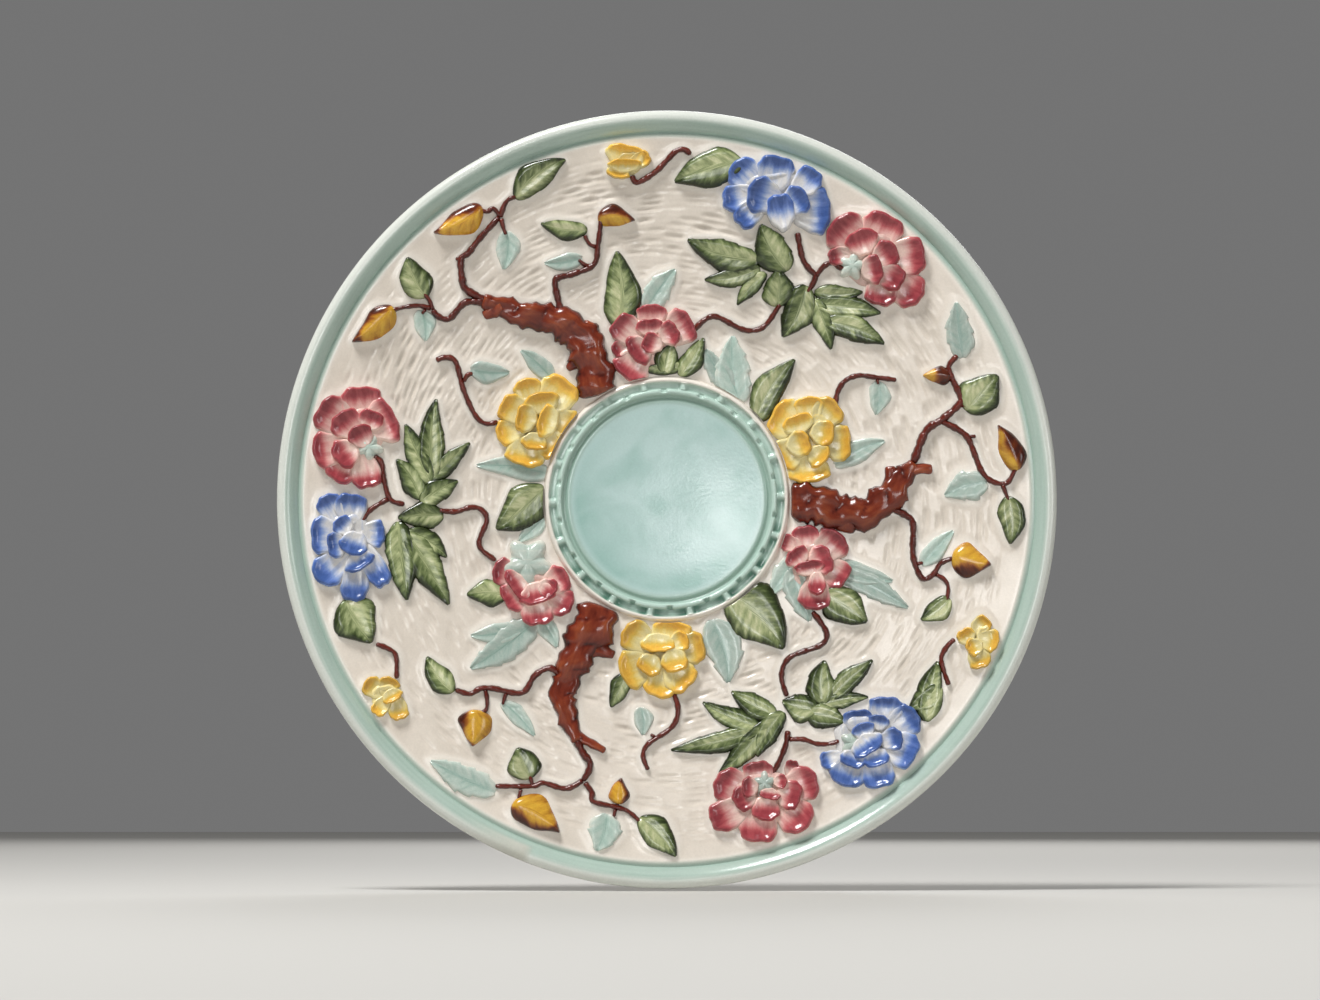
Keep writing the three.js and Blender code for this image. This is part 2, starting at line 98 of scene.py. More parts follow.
# Painted shade: the well is painted darker towards its edge, most towards the bottom left, as light falls in
# the hollow. The darker spot near its middle is a patch of the colour itself.
WELL_SHADE_TURN = np.radians(225)
WELL_SHADE_LEAST = 0.2
WELL_SHADE_FADE = (-0.4, 1)
WELL_SHADE_RADII = (28, 43)
WELL_SHADE_PAINT = 0.6
WELL_SPOT_PLACE = (-3.5, -2.5)
WELL_SPOT_MM = 5
WELL_SPOT_PAINT = 0.5
WELL_MIDDLE_PAINT = 0.25
FRONT_PICTURE = 0.42
BACK_PICTURE = 0.155


def field_height(radius):
    """Height of the field in front of the wall: it rises from the ring to the rim as
    a power of the way across."""
    share = (radius - FIELD_INNER_RADIUS) / (FIELD_OUTER_RADIUS - FIELD_INNER_RADIUS)
    rise = FIELD_OUTER_HEIGHT - FIELD_INNER_HEIGHT
    return FIELD_INNER_HEIGHT + rise * np.clip(share, 0, 1) ** FIELD_CURVE


def rounded_line(corners, steps):
    """A line with rounded corners: a quadratic curve from the middle of each side to
    the middle of the next, which leans on the corner between them."""
    corners = np.array(corners, float)
    middles = (corners[:-1] + corners[1:]) / 2
    share = np.linspace(0, 1, steps, endpoint=False)[:, None]
    before, corner, after = middles[:-1, None], corners[1:-1, None], middles[1:, None]
    arcs = (1 - share) ** 2 * before + 2 * share * (1 - share) * corner + share**2 * after
    return np.vstack([corners[:1], arcs.reshape(-1, 2), corners[-1:]])


def ease(low, high, value):
    """A smooth step: 0 up to low, 1 from high on, and 3t2 - 2t3 between them."""
    share = np.clip((value - low) / (high - low), 0, 1)
    return share * share * (3 - 2 * share)


def band(width, softness, distance):
    """1 within half a width of a line and 0 outside it, eased over a softness on each side of its border."""
    return ease(width / 2 + softness, width / 2 - softness, distance)


def scatter(first, second):
    """An even spread of numbers from 0 to 1, one for each pair of whole numbers: the
    fraction of a large sine."""
    return np.modf(np.abs(np.sin(first * 12.9898 + second * 78.233) * 43758.5453))[0]


def net_faces(index):
    """Quads of a net of point numbers: each point, the next in its row, and the two
    below them in the next row."""
    corners = [index[:-1, :-1], index[:-1, 1:], index[1:, 1:], index[1:, :-1]]
    return np.stack(corners, axis=-1).reshape(-1, 4).tolist()


def round_net(rows, columns):
    """Point numbers of rows round an axis, with the first number of each row again at its end."""
    index = np.arange(rows * columns).reshape(rows, columns)
    return np.hstack([index, index[:, :1]])


def closed_round(points):
    """A mesh round an axis from rows of points and two end points: quads between the
    rows, fans at the ends."""
    rows, columns = points.shape[:2]
    index = round_net(rows, columns)
    front, back = rows * columns, rows * columns + 1
    front_fan = np.stack([np.full(columns, front), index[0, 1:], index[0, :-1]], axis=-1)
    back_fan = np.stack([index[-1, :-1], index[-1, 1:], np.full(columns, back)], axis=-1)
    return net_faces(index) + front_fan.tolist() + back_fan.tolist()


def placed(points):
    """Points in millimetres from the plaque's centre, with the height towards the
    front as the second number, as metres in the frame."""
    return np.stack([points[:, 0], -points[:, 1], points[:, 2] + CENTRE_Z], axis=-1) * MM


def new_piece(name, points, faces, values, material, unrolled=None):
    """A smooth mesh object at the origin, from points as placed takes them. values
    are named numbers for each point that its material reads, and unrolled is the
    place of each face's corner on a flat picture of the piece, from 0 to 1."""
    mesh = bpy.data.meshes.new(name)
    mesh.from_pydata(placed(points).tolist(), [], faces)
    mesh.polygons.foreach_set("use_smooth", np.ones(len(mesh.polygons), bool))
    for key, value in values.items():
        kind = "FLOAT_VECTOR" if value.ndim == 2 else "FLOAT"
        attribute = mesh.attributes.new(key, kind, "POINT")
        attribute.data.foreach_set("vector" if value.ndim == 2 else "value", value.astype(np.float32).ravel())
    if unrolled is not None:
        mesh.uv_layers.new(name="OFBake").data.foreach_set("uv", unrolled.astype(np.float32).ravel())
    mesh.materials.append(material)
    piece = bpy.data.objects.new(name, mesh)
    bpy.context.collection.objects.link(piece)
    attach(piece, "root")
    return piece


def band_corners(middle, inner, outer, angle):
    """Places on the flat picture of the corners of rings of quads about a middle. inner and outer are the
    radii of each ring's first and last row of points, and the corners go round as the quads' points do."""
    step = angle[0, 1] - angle[0, 0]
    radii = np.stack([inner, inner, outer, outer], axis=-1)[:, None]
    turns = np.stack([angle[0], angle[0] + step, angle[0] + step, angle[0]], axis=-1)[None]
    return np.stack([middle + radii * np.sin(turns), middle + radii * np.cos(turns)], axis=-1)


def to_linear(colour):
    """An sRGB hex colour as the linear red, green, blue and alpha that a shader takes."""
    channels = np.array([int(colour[at : at + 2], 16) for at in (1, 3, 5)]) / 255
    linear = np.where(channels <= 0.04045, channels / 12.92, ((channels + 0.055) / 1.055) ** 2.4)
    return (*linear.tolist(), 1)


def add_node(tree, kind, inputs=(), output=0, stops=(), **settings):
    """Adds a shader node with its settings and gives one of its outputs, if it has
    any. inputs pairs each socket, by name or number, with a value or with the output
    that is linked to it, and stops are the places and colours of a ramp."""
    made = tree.nodes.new("ShaderNode" + kind)
    for key, value in settings.items():
        setattr(made, key, value)
    for key, value in dict(inputs).items():
        if isinstance(value, bpy.types.NodeSocket):
            tree.links.new(value, made.inputs[key])
        else:
            made.inputs[key].default_value = value
    for place, _ in stops[1:-1]:
        made.color_ramp.elements.new(place)
    for number, (place, colour) in enumerate(stops):
        made.color_ramp.elements[number].position = place
        made.color_ramp.elements[number].color = to_linear(colour)
    return made.outputs[output] if len(made.outputs) else made


def new_material(name):
    """An empty node material and its tree."""
    material = bpy.data.materials.new(name)
    material.use_nodes = True
    material.node_tree.nodes.clear()
    return material, material.node_tree


well_rows = rounded_line(WELL_AND_RING, FRONT_STEPS)[1:]
bed_rows = [(radius, field_height(radius) - BED_DEPTH) for radius in BED_RADII]
rim_rows = rounded_line(RIM, FRONT_STEPS)
back_rows = rounded_line(BACK, BACK_STEPS)[:-1]
section = np.vstack([well_rows, bed_rows, rim_rows, back_rows])
section_way = np.concatenate([[0], np.cumsum(np.hypot(*np.diff(section, axis=0).T))])
section_share = section_way / section_way[-1]
front_count = int(np.argmax(section[:, 0]))

angle = np.linspace(0, 2 * np.pi, DISH_COLUMNS, endpoint=False)[None, :]
radius, height = section[:, :1], section[:, 1:]
front = (np.arange(len(section)) < front_count)[:, None]
bar_pitch = 2 * np.pi * CHANNEL_MIDDLE / BAR_COUNT
off_bridge = np.abs(((angle - BAR_TURN) * BAR_COUNT / (2 * np.pi) + 0.5) % 1 - 0.5) * bar_pitch
off_notch = bar_pitch / 2 - off_bridge
in_channel = band(CHANNEL_WIDTH, CHANNEL_SOFTNESS, np.abs(radius - CHANNEL_MIDDLE)) * front
bridge = band(BRIDGE_WIDTH, BRIDGE_SOFTNESS, off_bridge)
on_lip = ease(*LIP_INNER_FADE, radius) * ease(*LIP_OUTER_FADE, radius) * front
notch = on_lip * band(NOTCH_WIDTH, NOTCH_SOFTNESS, off_notch)
dent_angle, dent_radius = np.arctan2(*DENT_PLACE), np.hypot(*DENT_PLACE)
past_dent = ((angle - dent_angle + np.pi) % (2 * np.pi) - np.pi) * dent_radius
beyond_dent = (radius - dent_radius) / DENT_HALF_LENGTH
dent = np.exp(-((past_dent / DENT_HALF_WIDTH) ** 2) - beyond_dent**2) * front
beside_dent = ease(*THIN_BAND_START_MM, past_dent) * ease(*THIN_BAND_END_MM, past_dent)
thin_band = ease(*THIN_BAND_RADII, radius) * beside_dent * front
heights = height + BRIDGE_RISE * in_channel * bridge - NOTCH_DEPTH * notch - DENT_DEPTH * dent
dish_x, dish_z = radius * np.sin(angle), radius * np.cos(angle)
dish_points = np.stack([dish_x, heights, dish_z], axis=-1)
dish_ends = [[0, WELL_AND_RING[0][1], 0], [0, BACK[-1][1], 0]]


def shade_towards(turn, least, fade):
    """How much painted shade falls towards one side of the round: 1 at a turn, least across from it, and
    eased by the cosine of the angle between them."""
    return least + (1 - least) * ease(*fade, np.cos(angle - turn))


from_spot = np.hypot(dish_x - WELL_SPOT_PLACE[0], dish_z - WELL_SPOT_PLACE[1])
well_spot = np.exp(-((from_spot / WELL_SPOT_MM) ** 2))
# Painted shade: the well darkens towards its edge, most at the bottom left.
edge_shade_in_well = ease(*WELL_SHADE_RADII, radius) * shade_towards(WELL_SHADE_TURN, WELL_SHADE_LEAST, WELL_SHADE_FADE)
bar_ends = BAR_MIDDLE_PAINT + (1 - BAR_MIDDLE_PAINT) * ease(*BAR_END_MM, off_notch)
bar_paint = np.maximum(in_channel * (1 - bridge) * bar_ends, NOTCH_PAINT * notch)
# Painted shade: the bars are made darker towards the bottom and fainter at the top.
bar_paint = bar_paint * shade_towards(BAR_SHADE_TURN, BAR_SHADE_LEAST, BAR_SHADE_FADE)
well_paint = WELL_SPOT_PAINT * well_spot + WELL_SHADE_PAINT * edge_shade_in_well
dish_values = {
    "section": np.append(section_share[:, None] + 0 * angle, [0, 1]),
    "bar": np.append(bar_paint, [0, 0]),
    "thin_band": np.append(thin_band, [0, 0]),
    "well_spot_and_shade": np.append(well_paint, [WELL_MIDDLE_PAINT, 0]),
}


def share_at(radius):
    """Where a radius of the front lies along the section, from 0 at its middle to 1 at the back's middle."""
    return np.interp(radius, section[:front_count, 0], section_share[:front_count])


def along_front(*stops):
    """Ramp stops that are given at radii of the front, as places along the section."""
    return [(float(share_at(radius)), colour) for radius, colour in stops]


# Cream earthenware under clear gloss glaze, with blue-green brushed on rim, ring and well: the cream is warm
# and a little cloudy, and darker in the scraped hollows, where glaze pools and painted shade lies. The colour
# pools dark in the grooves, painted shade darkens the ring's bars towards the bottom and the well's edge
# towards the bottom left, and on the rim the brush shows as streaks along the round.
CREAM = "#E3D9CC"
# A darker cream, for the cloudy patches and for the glaze pooling and painted shade in the scraped hollows.
CREAM_SHADE_AND_POOL = "#BFB4A5"
CREAM_EDGE = "#EAE3D8"
AQUA = "#ADC0B5"
AQUA_PALE = "#D6D9D1"
AQUA_BEAD = "#B6CEC2"
AQUA_THIN = "#C3C4B9"
AQUA_LINE = "#97B2A5"
AQUA_INNER_LINE = "#A2B8AC"
AQUA_DEEP = "#567F6E"
AQUA_STREAK = "#9AB1A5"
AQUA_WELL = "#BBD4D0"
AQUA_WELL_DEEP = "#94B9B0"
CLOUD_MM = 16
SWIRL_MM = 34
STREAK_MM = 1.6
SPECK_MM = 0.9
RIPPLE_MM = 1.4
RIPPLE_HEIGHT = 0.2 * MM
RIPPLE_STRENGTH = 0.2
GLAZE_IOR = 1.52
GLAZE_ROUGHNESS = 0.13
GLAZE_UNEVEN = 0.06
SCRAPED_ROUGHNESS = 0.05
# Painted shade: how much darker the cream gets in the scraped hollows, for the glaze that pools there and the
# shade in them.
SCRAPE_SHADE_AND_POOL = 0.3
STREAK_DRIFT = 0.04
BEHIND_EDGE = 0.02
FULL, FAINT, BARE = "#FFFFFF", "#404040", "#000000"

dish_glaze, tree = new_material("cream_earthenware_clear_glaze")
place = add_node(tree, "TexCoord", output="Object")
from_centre = add_node(tree, "Mapping", {"Vector": place, "Location": (0, 0, -CENTRE_Z * MM)})
flat = add_node(tree, "VectorMath", {0: from_centre, 1: (1, 0, 1)}, operation="MULTIPLY")
out = add_node(tree, "VectorMath", {0: flat}, output="Value", operation="LENGTH")
sides = [add_node(tree, "SeparateXYZ", {0: flat}, output=axis) for axis in ("X", "Z")]
slow_x, slow_z = [
    add_node(tree, "Math", {0: side, 1: STREAK_DRIFT}, operation="MULTIPLY") for side in sides
]
round_way = add_node(tree, "CombineXYZ", {0: out, 1: slow_x, 2: slow_z})
noises = {
    name: add_node(
        tree,
        "TexNoise",
        {"Vector": where, "Scale": 1 / (size * MM), "Detail": detail, "Distortion": distortion},
    )
    for name, where, size, detail, distortion in (
        ("streaks", round_way, STREAK_MM, 3, 0),
        ("clouds", place, CLOUD_MM, 4, 0),
        ("specks", place, SPECK_MM, 2, 0),
        ("ripples", place, RIPPLE_MM, 2, 0),
        ("swirl", place, SWIRL_MM, 2, 1.5),
    )
}
swirl_share, cloud_share, streak_share, speck_value, even_gloss = [
    add_node(tree, "MapRange", {0: noises[noise], 1: low, 2: high, 3: least, 4: most})
    for noise, low, high, least, most in (
        ("swirl", 0.4, 0.7, 0, 0.6),
        ("clouds", 0.4, 0.75, 0, 0.35),
        ("streaks", 0.42, 0.75, 0, 0.6),
        ("specks", 0.3, 0.7, 0.97, 1.03),
        ("clouds", 0.3, 0.7, GLAZE_ROUGHNESS, GLAZE_ROUGHNESS + GLAZE_UNEVEN),
    )
]
section_value, scrape_value, halo_value, bar_value, thin_value, spot_and_shade_value = [
    add_node(tree, "Attribute", output="Fac", attribute_name=name)
    for name in ("section", "scrape", "halo", "bar", "thin_band", "well_spot_and_shade")
]
behind_edge = float(share_at(180)) + BEHIND_EDGE
bands, is_well, is_field, is_rim = [
    add_node(tree, "ValToRGB", {0: section_value}, stops=stops)
    for stops in (
        along_front(
            (43.5, AQUA_WELL),
            (45.9, AQUA_LINE),
            (47.8, AQUA_LINE),
            (48.9, AQUA_BEAD),
            (54, AQUA_BEAD),
            (55, CREAM_EDGE),
            (58, CREAM_EDGE),
            (167.2, CREAM_EDGE),
            (169, AQUA),
            (169.8, AQUA_INNER_LINE),
            (170.4, AQUA_INNER_LINE),
            (171, AQUA),
            (174.5, AQUA),
            (177, AQUA_PALE),
            (179.6, AQUA_PALE),
        )
        + [(behind_edge, CREAM_EDGE), (1, CREAM)],
        along_front((42, FULL), (44.5, BARE)),
        along_front((56, BARE), (58, FULL), (166, FULL), (168, BARE)),
        along_front((170.5, BARE), (171.5, FULL), (175, FULL), (178, FAINT))
        + [(behind_edge, BARE)],
    )
]
# The cream darkens with its cloudy patches and with painted shade in the scraped hollows, and the well with
# its swirl, its spot and its painted shade towards the edge.
well_share, cloud_pool_shade_share, streak_amount, gloss = [
    add_node(tree, "Math", inputs, operation=operation, use_clamp=clamp)
    for operation, clamp, inputs in (
        ("ADD", True, {0: swirl_share, 1: spot_and_shade_value}),
        ("MULTIPLY_ADD", False, {0: scrape_value, 1: SCRAPE_SHADE_AND_POOL, 2: cloud_share}),
        ("MULTIPLY", False, {0: streak_share, 1: is_rim}),
        ("MULTIPLY_ADD", False, {0: is_field, 1: SCRAPED_ROUGHNESS, 2: even_gloss}),
    )
]
well, cream_with_shade = [
    add_node(
        tree, "Mix", {0: share, 6: to_linear(thin), 7: to_linear(thick)}, output=2, data_type="RGBA"
    )
    for share, thin, thick in ((well_share, AQUA_WELL, AQUA_WELL_DEEP), (cloud_pool_shade_share, CREAM, CREAM_SHADE_AND_POOL))
]
field = add_node(
    tree, "Mix", {0: halo_value, 6: cream_with_shade, 7: to_linear(CREAM_EDGE)}, output=2, data_type="RGBA"
)
layers = [
    (is_well, well),
    (is_field, field),
    (bar_value, to_linear(AQUA_DEEP)),
    (streak_amount, to_linear(AQUA_STREAK)),
    (thin_value, to_linear(AQUA_THIN)),
]
washed = bands
for share, over in layers:
    washed = add_node(tree, "Mix", {0: share, 6: washed, 7: over}, output=2, data_type="RGBA")
colour = add_node(tree, "HueSaturation", {"Value": speck_value, "Color": washed})
bump = add_node(
    tree, "Bump", {"Height": noises["ripples"], "Strength": RIPPLE_STRENGTH, "Distance": RIPPLE_HEIGHT}
)
shader = add_node(
    tree,
    "BsdfPrincipled",
    {"Base Color": colour, "Roughness": gloss, "IOR": GLAZE_IOR, "Normal": bump},
)
add_node(tree, "OutputMaterial", {"Surface": shader})

front_way, back_way = section_way[:front_count + 1], section_way[front_count:]
front_gone = front_way + section[0, 0]
front_reach = FRONT_PICTURE * front_gone / front_gone[-1]
back_left = back_way[-1] - back_way + section[-1, 0]
back_reach = BACK_PICTURE * back_left / back_left[0]
front_corners = band_corners(FRONT_PICTURE, front_reach[:-1], front_reach[1:], angle)
back_corners = band_corners(1 - BACK_PICTURE, back_reach[:-1], back_reach[1:], angle)
front_fan = band_corners(FRONT_PICTURE, 0 * front_reach[:1], front_reach[:1], angle)[0][:, [0, 2, 3]]
back_fan = band_corners(1 - BACK_PICTURE, back_reach[-1:], 0 * back_reach[:1], angle)[0][:, [0, 1, 2]]
dish_corners = [corners.reshape(-1, 2) for corners in (front_corners, back_corners, front_fan, back_fan)]
dish = new_piece(
    "dish",
    np.vstack([dish_points.reshape(-1, 3), dish_ends]),
    closed_round(dish_points),
    dish_values,
    dish_glaze,
    np.vstack(dish_corners),
)
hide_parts("plaque")

# The foot ring: a low band on the back, moulded with the dish, that bears on the
# wall. It is plain and glazed like the back, and a small hole is pierced through it
# on each side of its top, to hang the plaque by.
FOOT_OUTER_RADIUS = 97
FOOT_INNER_RADIUS = 88
FOOT_SECTION = [
    (99.3, 12), (99.3, 10.4), (98.6, 6.5), (97.4, 1.2), (96.4, 0), (92.5, 0), (88.6, 0), (87.5, 1.2), (86, 6),
    (85, 7.4), (85, 12), (92, 12), (99.3, 12),
]
FOOT_STEPS = 3
FOOT_COLUMNS = 240
HOLE_RADIUS = 1.75
HOLE_HEIGHT = 4.5
HOLE_ANGLE = np.radians(16)
HOLE_SIDES = 24
HOLE_OVERRUN = 4


def ring_faces(rows, columns):
    """Quads of a closed ring: rows of points round an axis, the last row joined to the first."""
    index = round_net(rows, columns)
    return net_faces(np.vstack([index, index[:1]]))


foot_section = rounded_line(FOOT_SECTION, FOOT_STEPS)[:-1]
foot_angle = np.linspace(0, 2 * np.pi, FOOT_COLUMNS, endpoint=False)[None, :]
foot_radius, foot_height = foot_section[:, :1], foot_section[:, 1:]
foot_x, foot_z = foot_radius * np.sin(foot_angle), foot_radius * np.cos(foot_angle)
foot_points = np.stack([foot_x, foot_height + 0 * foot_angle, foot_z], axis=-1)
foot = new_piece(
    "foot_ring",
    foot_points.reshape(-1, 3),
    ring_faces(len(foot_section), FOOT_COLUMNS),
    {"section": np.ones(foot_points[..., 0].size)},
    dish_glaze,
)

hole_angle = np.linspace(0, 2 * np.pi, HOLE_SIDES, endpoint=False)
hole_reach = np.array([FOOT_INNER_RADIUS - HOLE_OVERRUN, FOOT_OUTER_RADIUS + HOLE_OVERRUN])[:, None]
hole_across = HOLE_RADIUS * np.sin(hole_angle)[None, :]
hole_up = HOLE_HEIGHT + HOLE_RADIUS * np.cos(hole_angle)[None, :] + 0 * hole_reach
for side in (-1, 1):
    turn = side * HOLE_ANGLE
    hole_points = np.stack(
        [
            hole_reach * np.sin(turn) + hole_across * np.cos(turn),
            hole_up,
            hole_reach * np.cos(turn) - hole_across * np.sin(turn),
        ],
        axis=-1,
    ).reshape(-1, 3)
    first = np.arange(HOLE_SIDES)
    following = np.roll(first, -1)
    walls = np.stack([first, following, following + HOLE_SIDES, first + HOLE_SIDES], axis=-1).tolist()
    ends = [first[::-1].tolist(), (first + HOLE_SIDES).tolist()]
    cutter_mesh = bpy.data.meshes.new("hole_cutter")
    cutter_mesh.from_pydata(placed(hole_points).tolist(), [], walls + ends)
    cutter = bpy.data.objects.new("hole_cutter", cutter_mesh)
    bpy.context.collection.objects.link(cutter)
    cut = foot.modifiers.new("hole", "BOOLEAN")
    cut.operation = "DIFFERENCE"
    cut.object = cutter
    pierced = bpy.data.meshes.new_from_object(foot.evaluated_get(bpy.context.evaluated_depsgraph_get()))
    foot.modifiers.clear()
    foot.data = pierced
    bpy.data.objects.remove(cutter)

# The trunks: three stumps that grow out from the ring, modelled with the dish as rough rolls with knots
# and torn side shoots. They are washed in chestnut brown that runs dark into the hollows of the bark.
TRUNK_ROW_MM = 1.1
TRUNK_COLUMNS = 25
ROOT_DEPTH = 1
TRUNK_LIFT = 1.8
TRUNK_LIFT_PER_WIDTH = 0.2
BARK_DEPTH = 0.9
FIGURE_APART = 40
# Each trunk or shoot has x, z and its width at the points it runs through.
TRUNKS = [
    [(-31, 48, 19), (-34, 60, 18), (-37, 70, 18), (-44, 79, 17), (-55, 84, 14), (-66, 85.5, 12.5),
     (-86, 92.5, 7)],
    [(57, -2, 18), (68, -2, 19), (80, -6, 17), (92, -6.5, 15), (102, 0, 15), (108, 8, 12), (115, 17, 6)],
    [(-30, -49, 16), (-33, -57, 21), (-41, -71, 17), (-46, -84, 13), (-48, -93, 12), (-41, -113, 6)],
    [(-39, 74, 9), (-35, 83, 6)],
    [(-76, 90, 8), (-85.5, 84.5, 4)],
    [(-40, 66, 8), (-46.5, 60, 3)],
    [(104, 6, 8), (103.5, 15.5, 5)],
    [(110, 13, 7), (123.5, 14, 4)],
    [(84, -8, 12), (82, -16, 8)],
    [(-36, -67, 11), (-24, -73, 4)],
    [(-43, -109, 6), (-28, -117, 3)],
]


def smooth_way(stations, step):
    """Points along a smooth line through stations, about a step apart: cubic pieces
    whose slope at each station is half the way between its neighbours."""
    stations = np.array(stations, float)
    ends = np.vstack([2 * stations[0] - stations[1], stations, 2 * stations[-1] - stations[-2]])
    before, start, end, after = ends[:-3, None], ends[1:-2, None], ends[2:-1, None], ends[3:, None]
    share = np.linspace(0, 1, 24, endpoint=False)[:, None]
    bend = 2 * before - 5 * start + 4 * end - after
    twist = 3 * start - before - 3 * end + after
    pieces = start + 0.5 * ((end - before) * share + bend * share**2 + twist * share**3)
    line = np.vstack([pieces.reshape(-1, stations.shape[1]), stations[-1:]])
    way = np.concatenate([[0], np.cumsum(np.hypot(*np.diff(line[:, :2], axis=0).T))])
    even = np.linspace(0, way[-1], max(int(round(way[-1] / step)), 4) + 1)
    return np.stack([np.interp(even, way, column) for column in line.T], axis=-1), even


def across_of(line):
    """Unit directions square to a line in the face, to the right of the way along it."""
    along = np.gradient(line[:, :2], axis=0)
    along /= np.hypot(along[:, :1], along[:, 1:])
    return np.stack([along[:, 1], -along[:, 0]], axis=-1)


def on_field(x, z, lift):
    """Points of the relief from their places in the face and their lift above the field. What
    would reach into the ring is cut off at its foot: the points are moved straight out to it."""
    radius = np.hypot(x, z)
    moved = np.maximum(radius, FIELD_INNER_RADIUS) / radius
    return np.stack([x * moved, field_height(radius) + lift, z * moved], axis=-1)


def sheet_faces(rows, columns):
    """Faces of a grid that is closed behind: its quads, and one face along its border."""
    index = np.arange(rows * columns).reshape(rows, columns)
    border = np.concatenate([index[0, :-1], index[:-1, -1], index[-1, :0:-1], index[:0:-1, 0]])
    return net_faces(index) + [border[::-1].tolist()]


def join_figures(name, figures, material):
    """One piece from many figures. A figure is its points in a grid, its faces, and for each point how much
    paint it has and its way along and across the figure. Every figure gets a tone of its own from 0 to 1."""
    all_points = [points.reshape(-1, 3) for points, *_ in figures]
    counts = [len(points) for points in all_points]
    starts = np.cumsum([0] + counts).tolist()
    faces = []
    strokes = []
    for number, (_, own_faces, _, along, across) in enumerate(figures):
        faces += [[corner + starts[number] for corner in face] for face in own_faces]
        apart = FIGURE_APART * number + 0 * along
        strokes.append(np.stack([along, across, apart], axis=-1).reshape(-1, 3))
    values = {
        "paint": np.concatenate([paint.ravel() for _, _, paint, _, _ in figures]),
        "tone": np.repeat(scatter(np.arange(len(figures)), len(figures)), counts),
        "strokes": np.vstack(strokes),
    }
    return new_piece(name, np.vstack(all_points), faces, values, material)


def bark(along, across, phase):
    """Bark as broad swellings along and across a stem, from about -1 to 1, and
    narrow slanting creases, 0 to 1."""
    swelling = 0.5 * np.sin(0.34 * along + 0.9 * np.sin(0.3 * across + phase) + phase)
    swelling = swelling + 0.4 * np.sin(0.44 * across + 1.2 * np.sin(0.17 * along + phase))
    crease = np.exp(-((np.sin(0.24 * along + 0.2 * across * np.sin(phase) + 2 * phase) / 0.2) ** 2))
    swelling = swelling + 0.03 * np.sin(1.5 * across + 1.6 * np.sin(0.25 * along + phase))
    return swelling, crease * (0.5 + 0.5 * np.sin(0.7 * across + phase))


def trunk_figure(stations, number):
    """A rough roll along a way: a flat-topped half round, with sides that bulge and
    run out into points, and bark."""
    line, way = smooth_way(stations, TRUNK_ROW_MM)
    across = across_of(line)
    share = np.linspace(-1, 1, TRUNK_COLUMNS)[None, :]
    phase = 1.7 * number + 0.4
    half = line[:, 2:] / 2
    side = way[:, None] + 5 * np.sign(share)
    bulge = 0.1 * np.sin(0.45 * side + phase) + 0.06 * np.sin(1.1 * side + 2.3 * phase)
    points_out = 0.32 * (1 - np.abs(np.sin(0.17 * side + 1.3 * phase))) ** 5
    from_end = np.minimum(way, way[-1] - way)[:, None] / (0.4 * half)
    end = np.sqrt(np.clip(1 - (1 - np.clip(from_end, 0.02, 1)) ** 2, 0.01, 1))
    reach = half * (1 + bulge + points_out) * (0.65 + 0.35 * end)
    place = line[:, None, :2] + across[:, None] * (share * reach)[..., None]
    arch = np.clip(1 - np.abs(share) ** 4, 0, 1) ** 0.6
    swelling, crease = bark(way[:, None] + 0 * share, share * half, phase)
    relief = BARK_DEPTH * (swelling - 0.6 * crease) * np.minimum(half / 6, 1)
    crown = (TRUNK_LIFT + TRUNK_LIFT_PER_WIDTH * line[:, 2:]) * end
    lift = -ROOT_DEPTH + (crown + ROOT_DEPTH + relief * end) * arch * np.minimum(end * 4, 1)
    lift = np.where(end <= 0.2, -ROOT_DEPTH, lift)
    paint = np.clip(0.66 + 0.22 * swelling - 0.5 * crease - 0.6 * np.abs(share) ** 5, 0, 1)
    points = on_field(place[..., 0], place[..., 1], lift)
    return points, sheet_faces(*points.shape[:2]), paint, way[:, None] + 0 * share, share * half


# Underglaze paint below clear gloss glaze, the finish of every figure: the brush
# leaves thin and thick colour along its strokes, each figure has its own strength,
# and the glaze on top shines and is a little uneven.
BRUSH_MM = 2.2
GRAIN_MM = 0.7
FIGURE_ROUGHNESS = 0.14
FIGURE_UNEVEN = 0.08
FIGURE_RIPPLE = 0.14


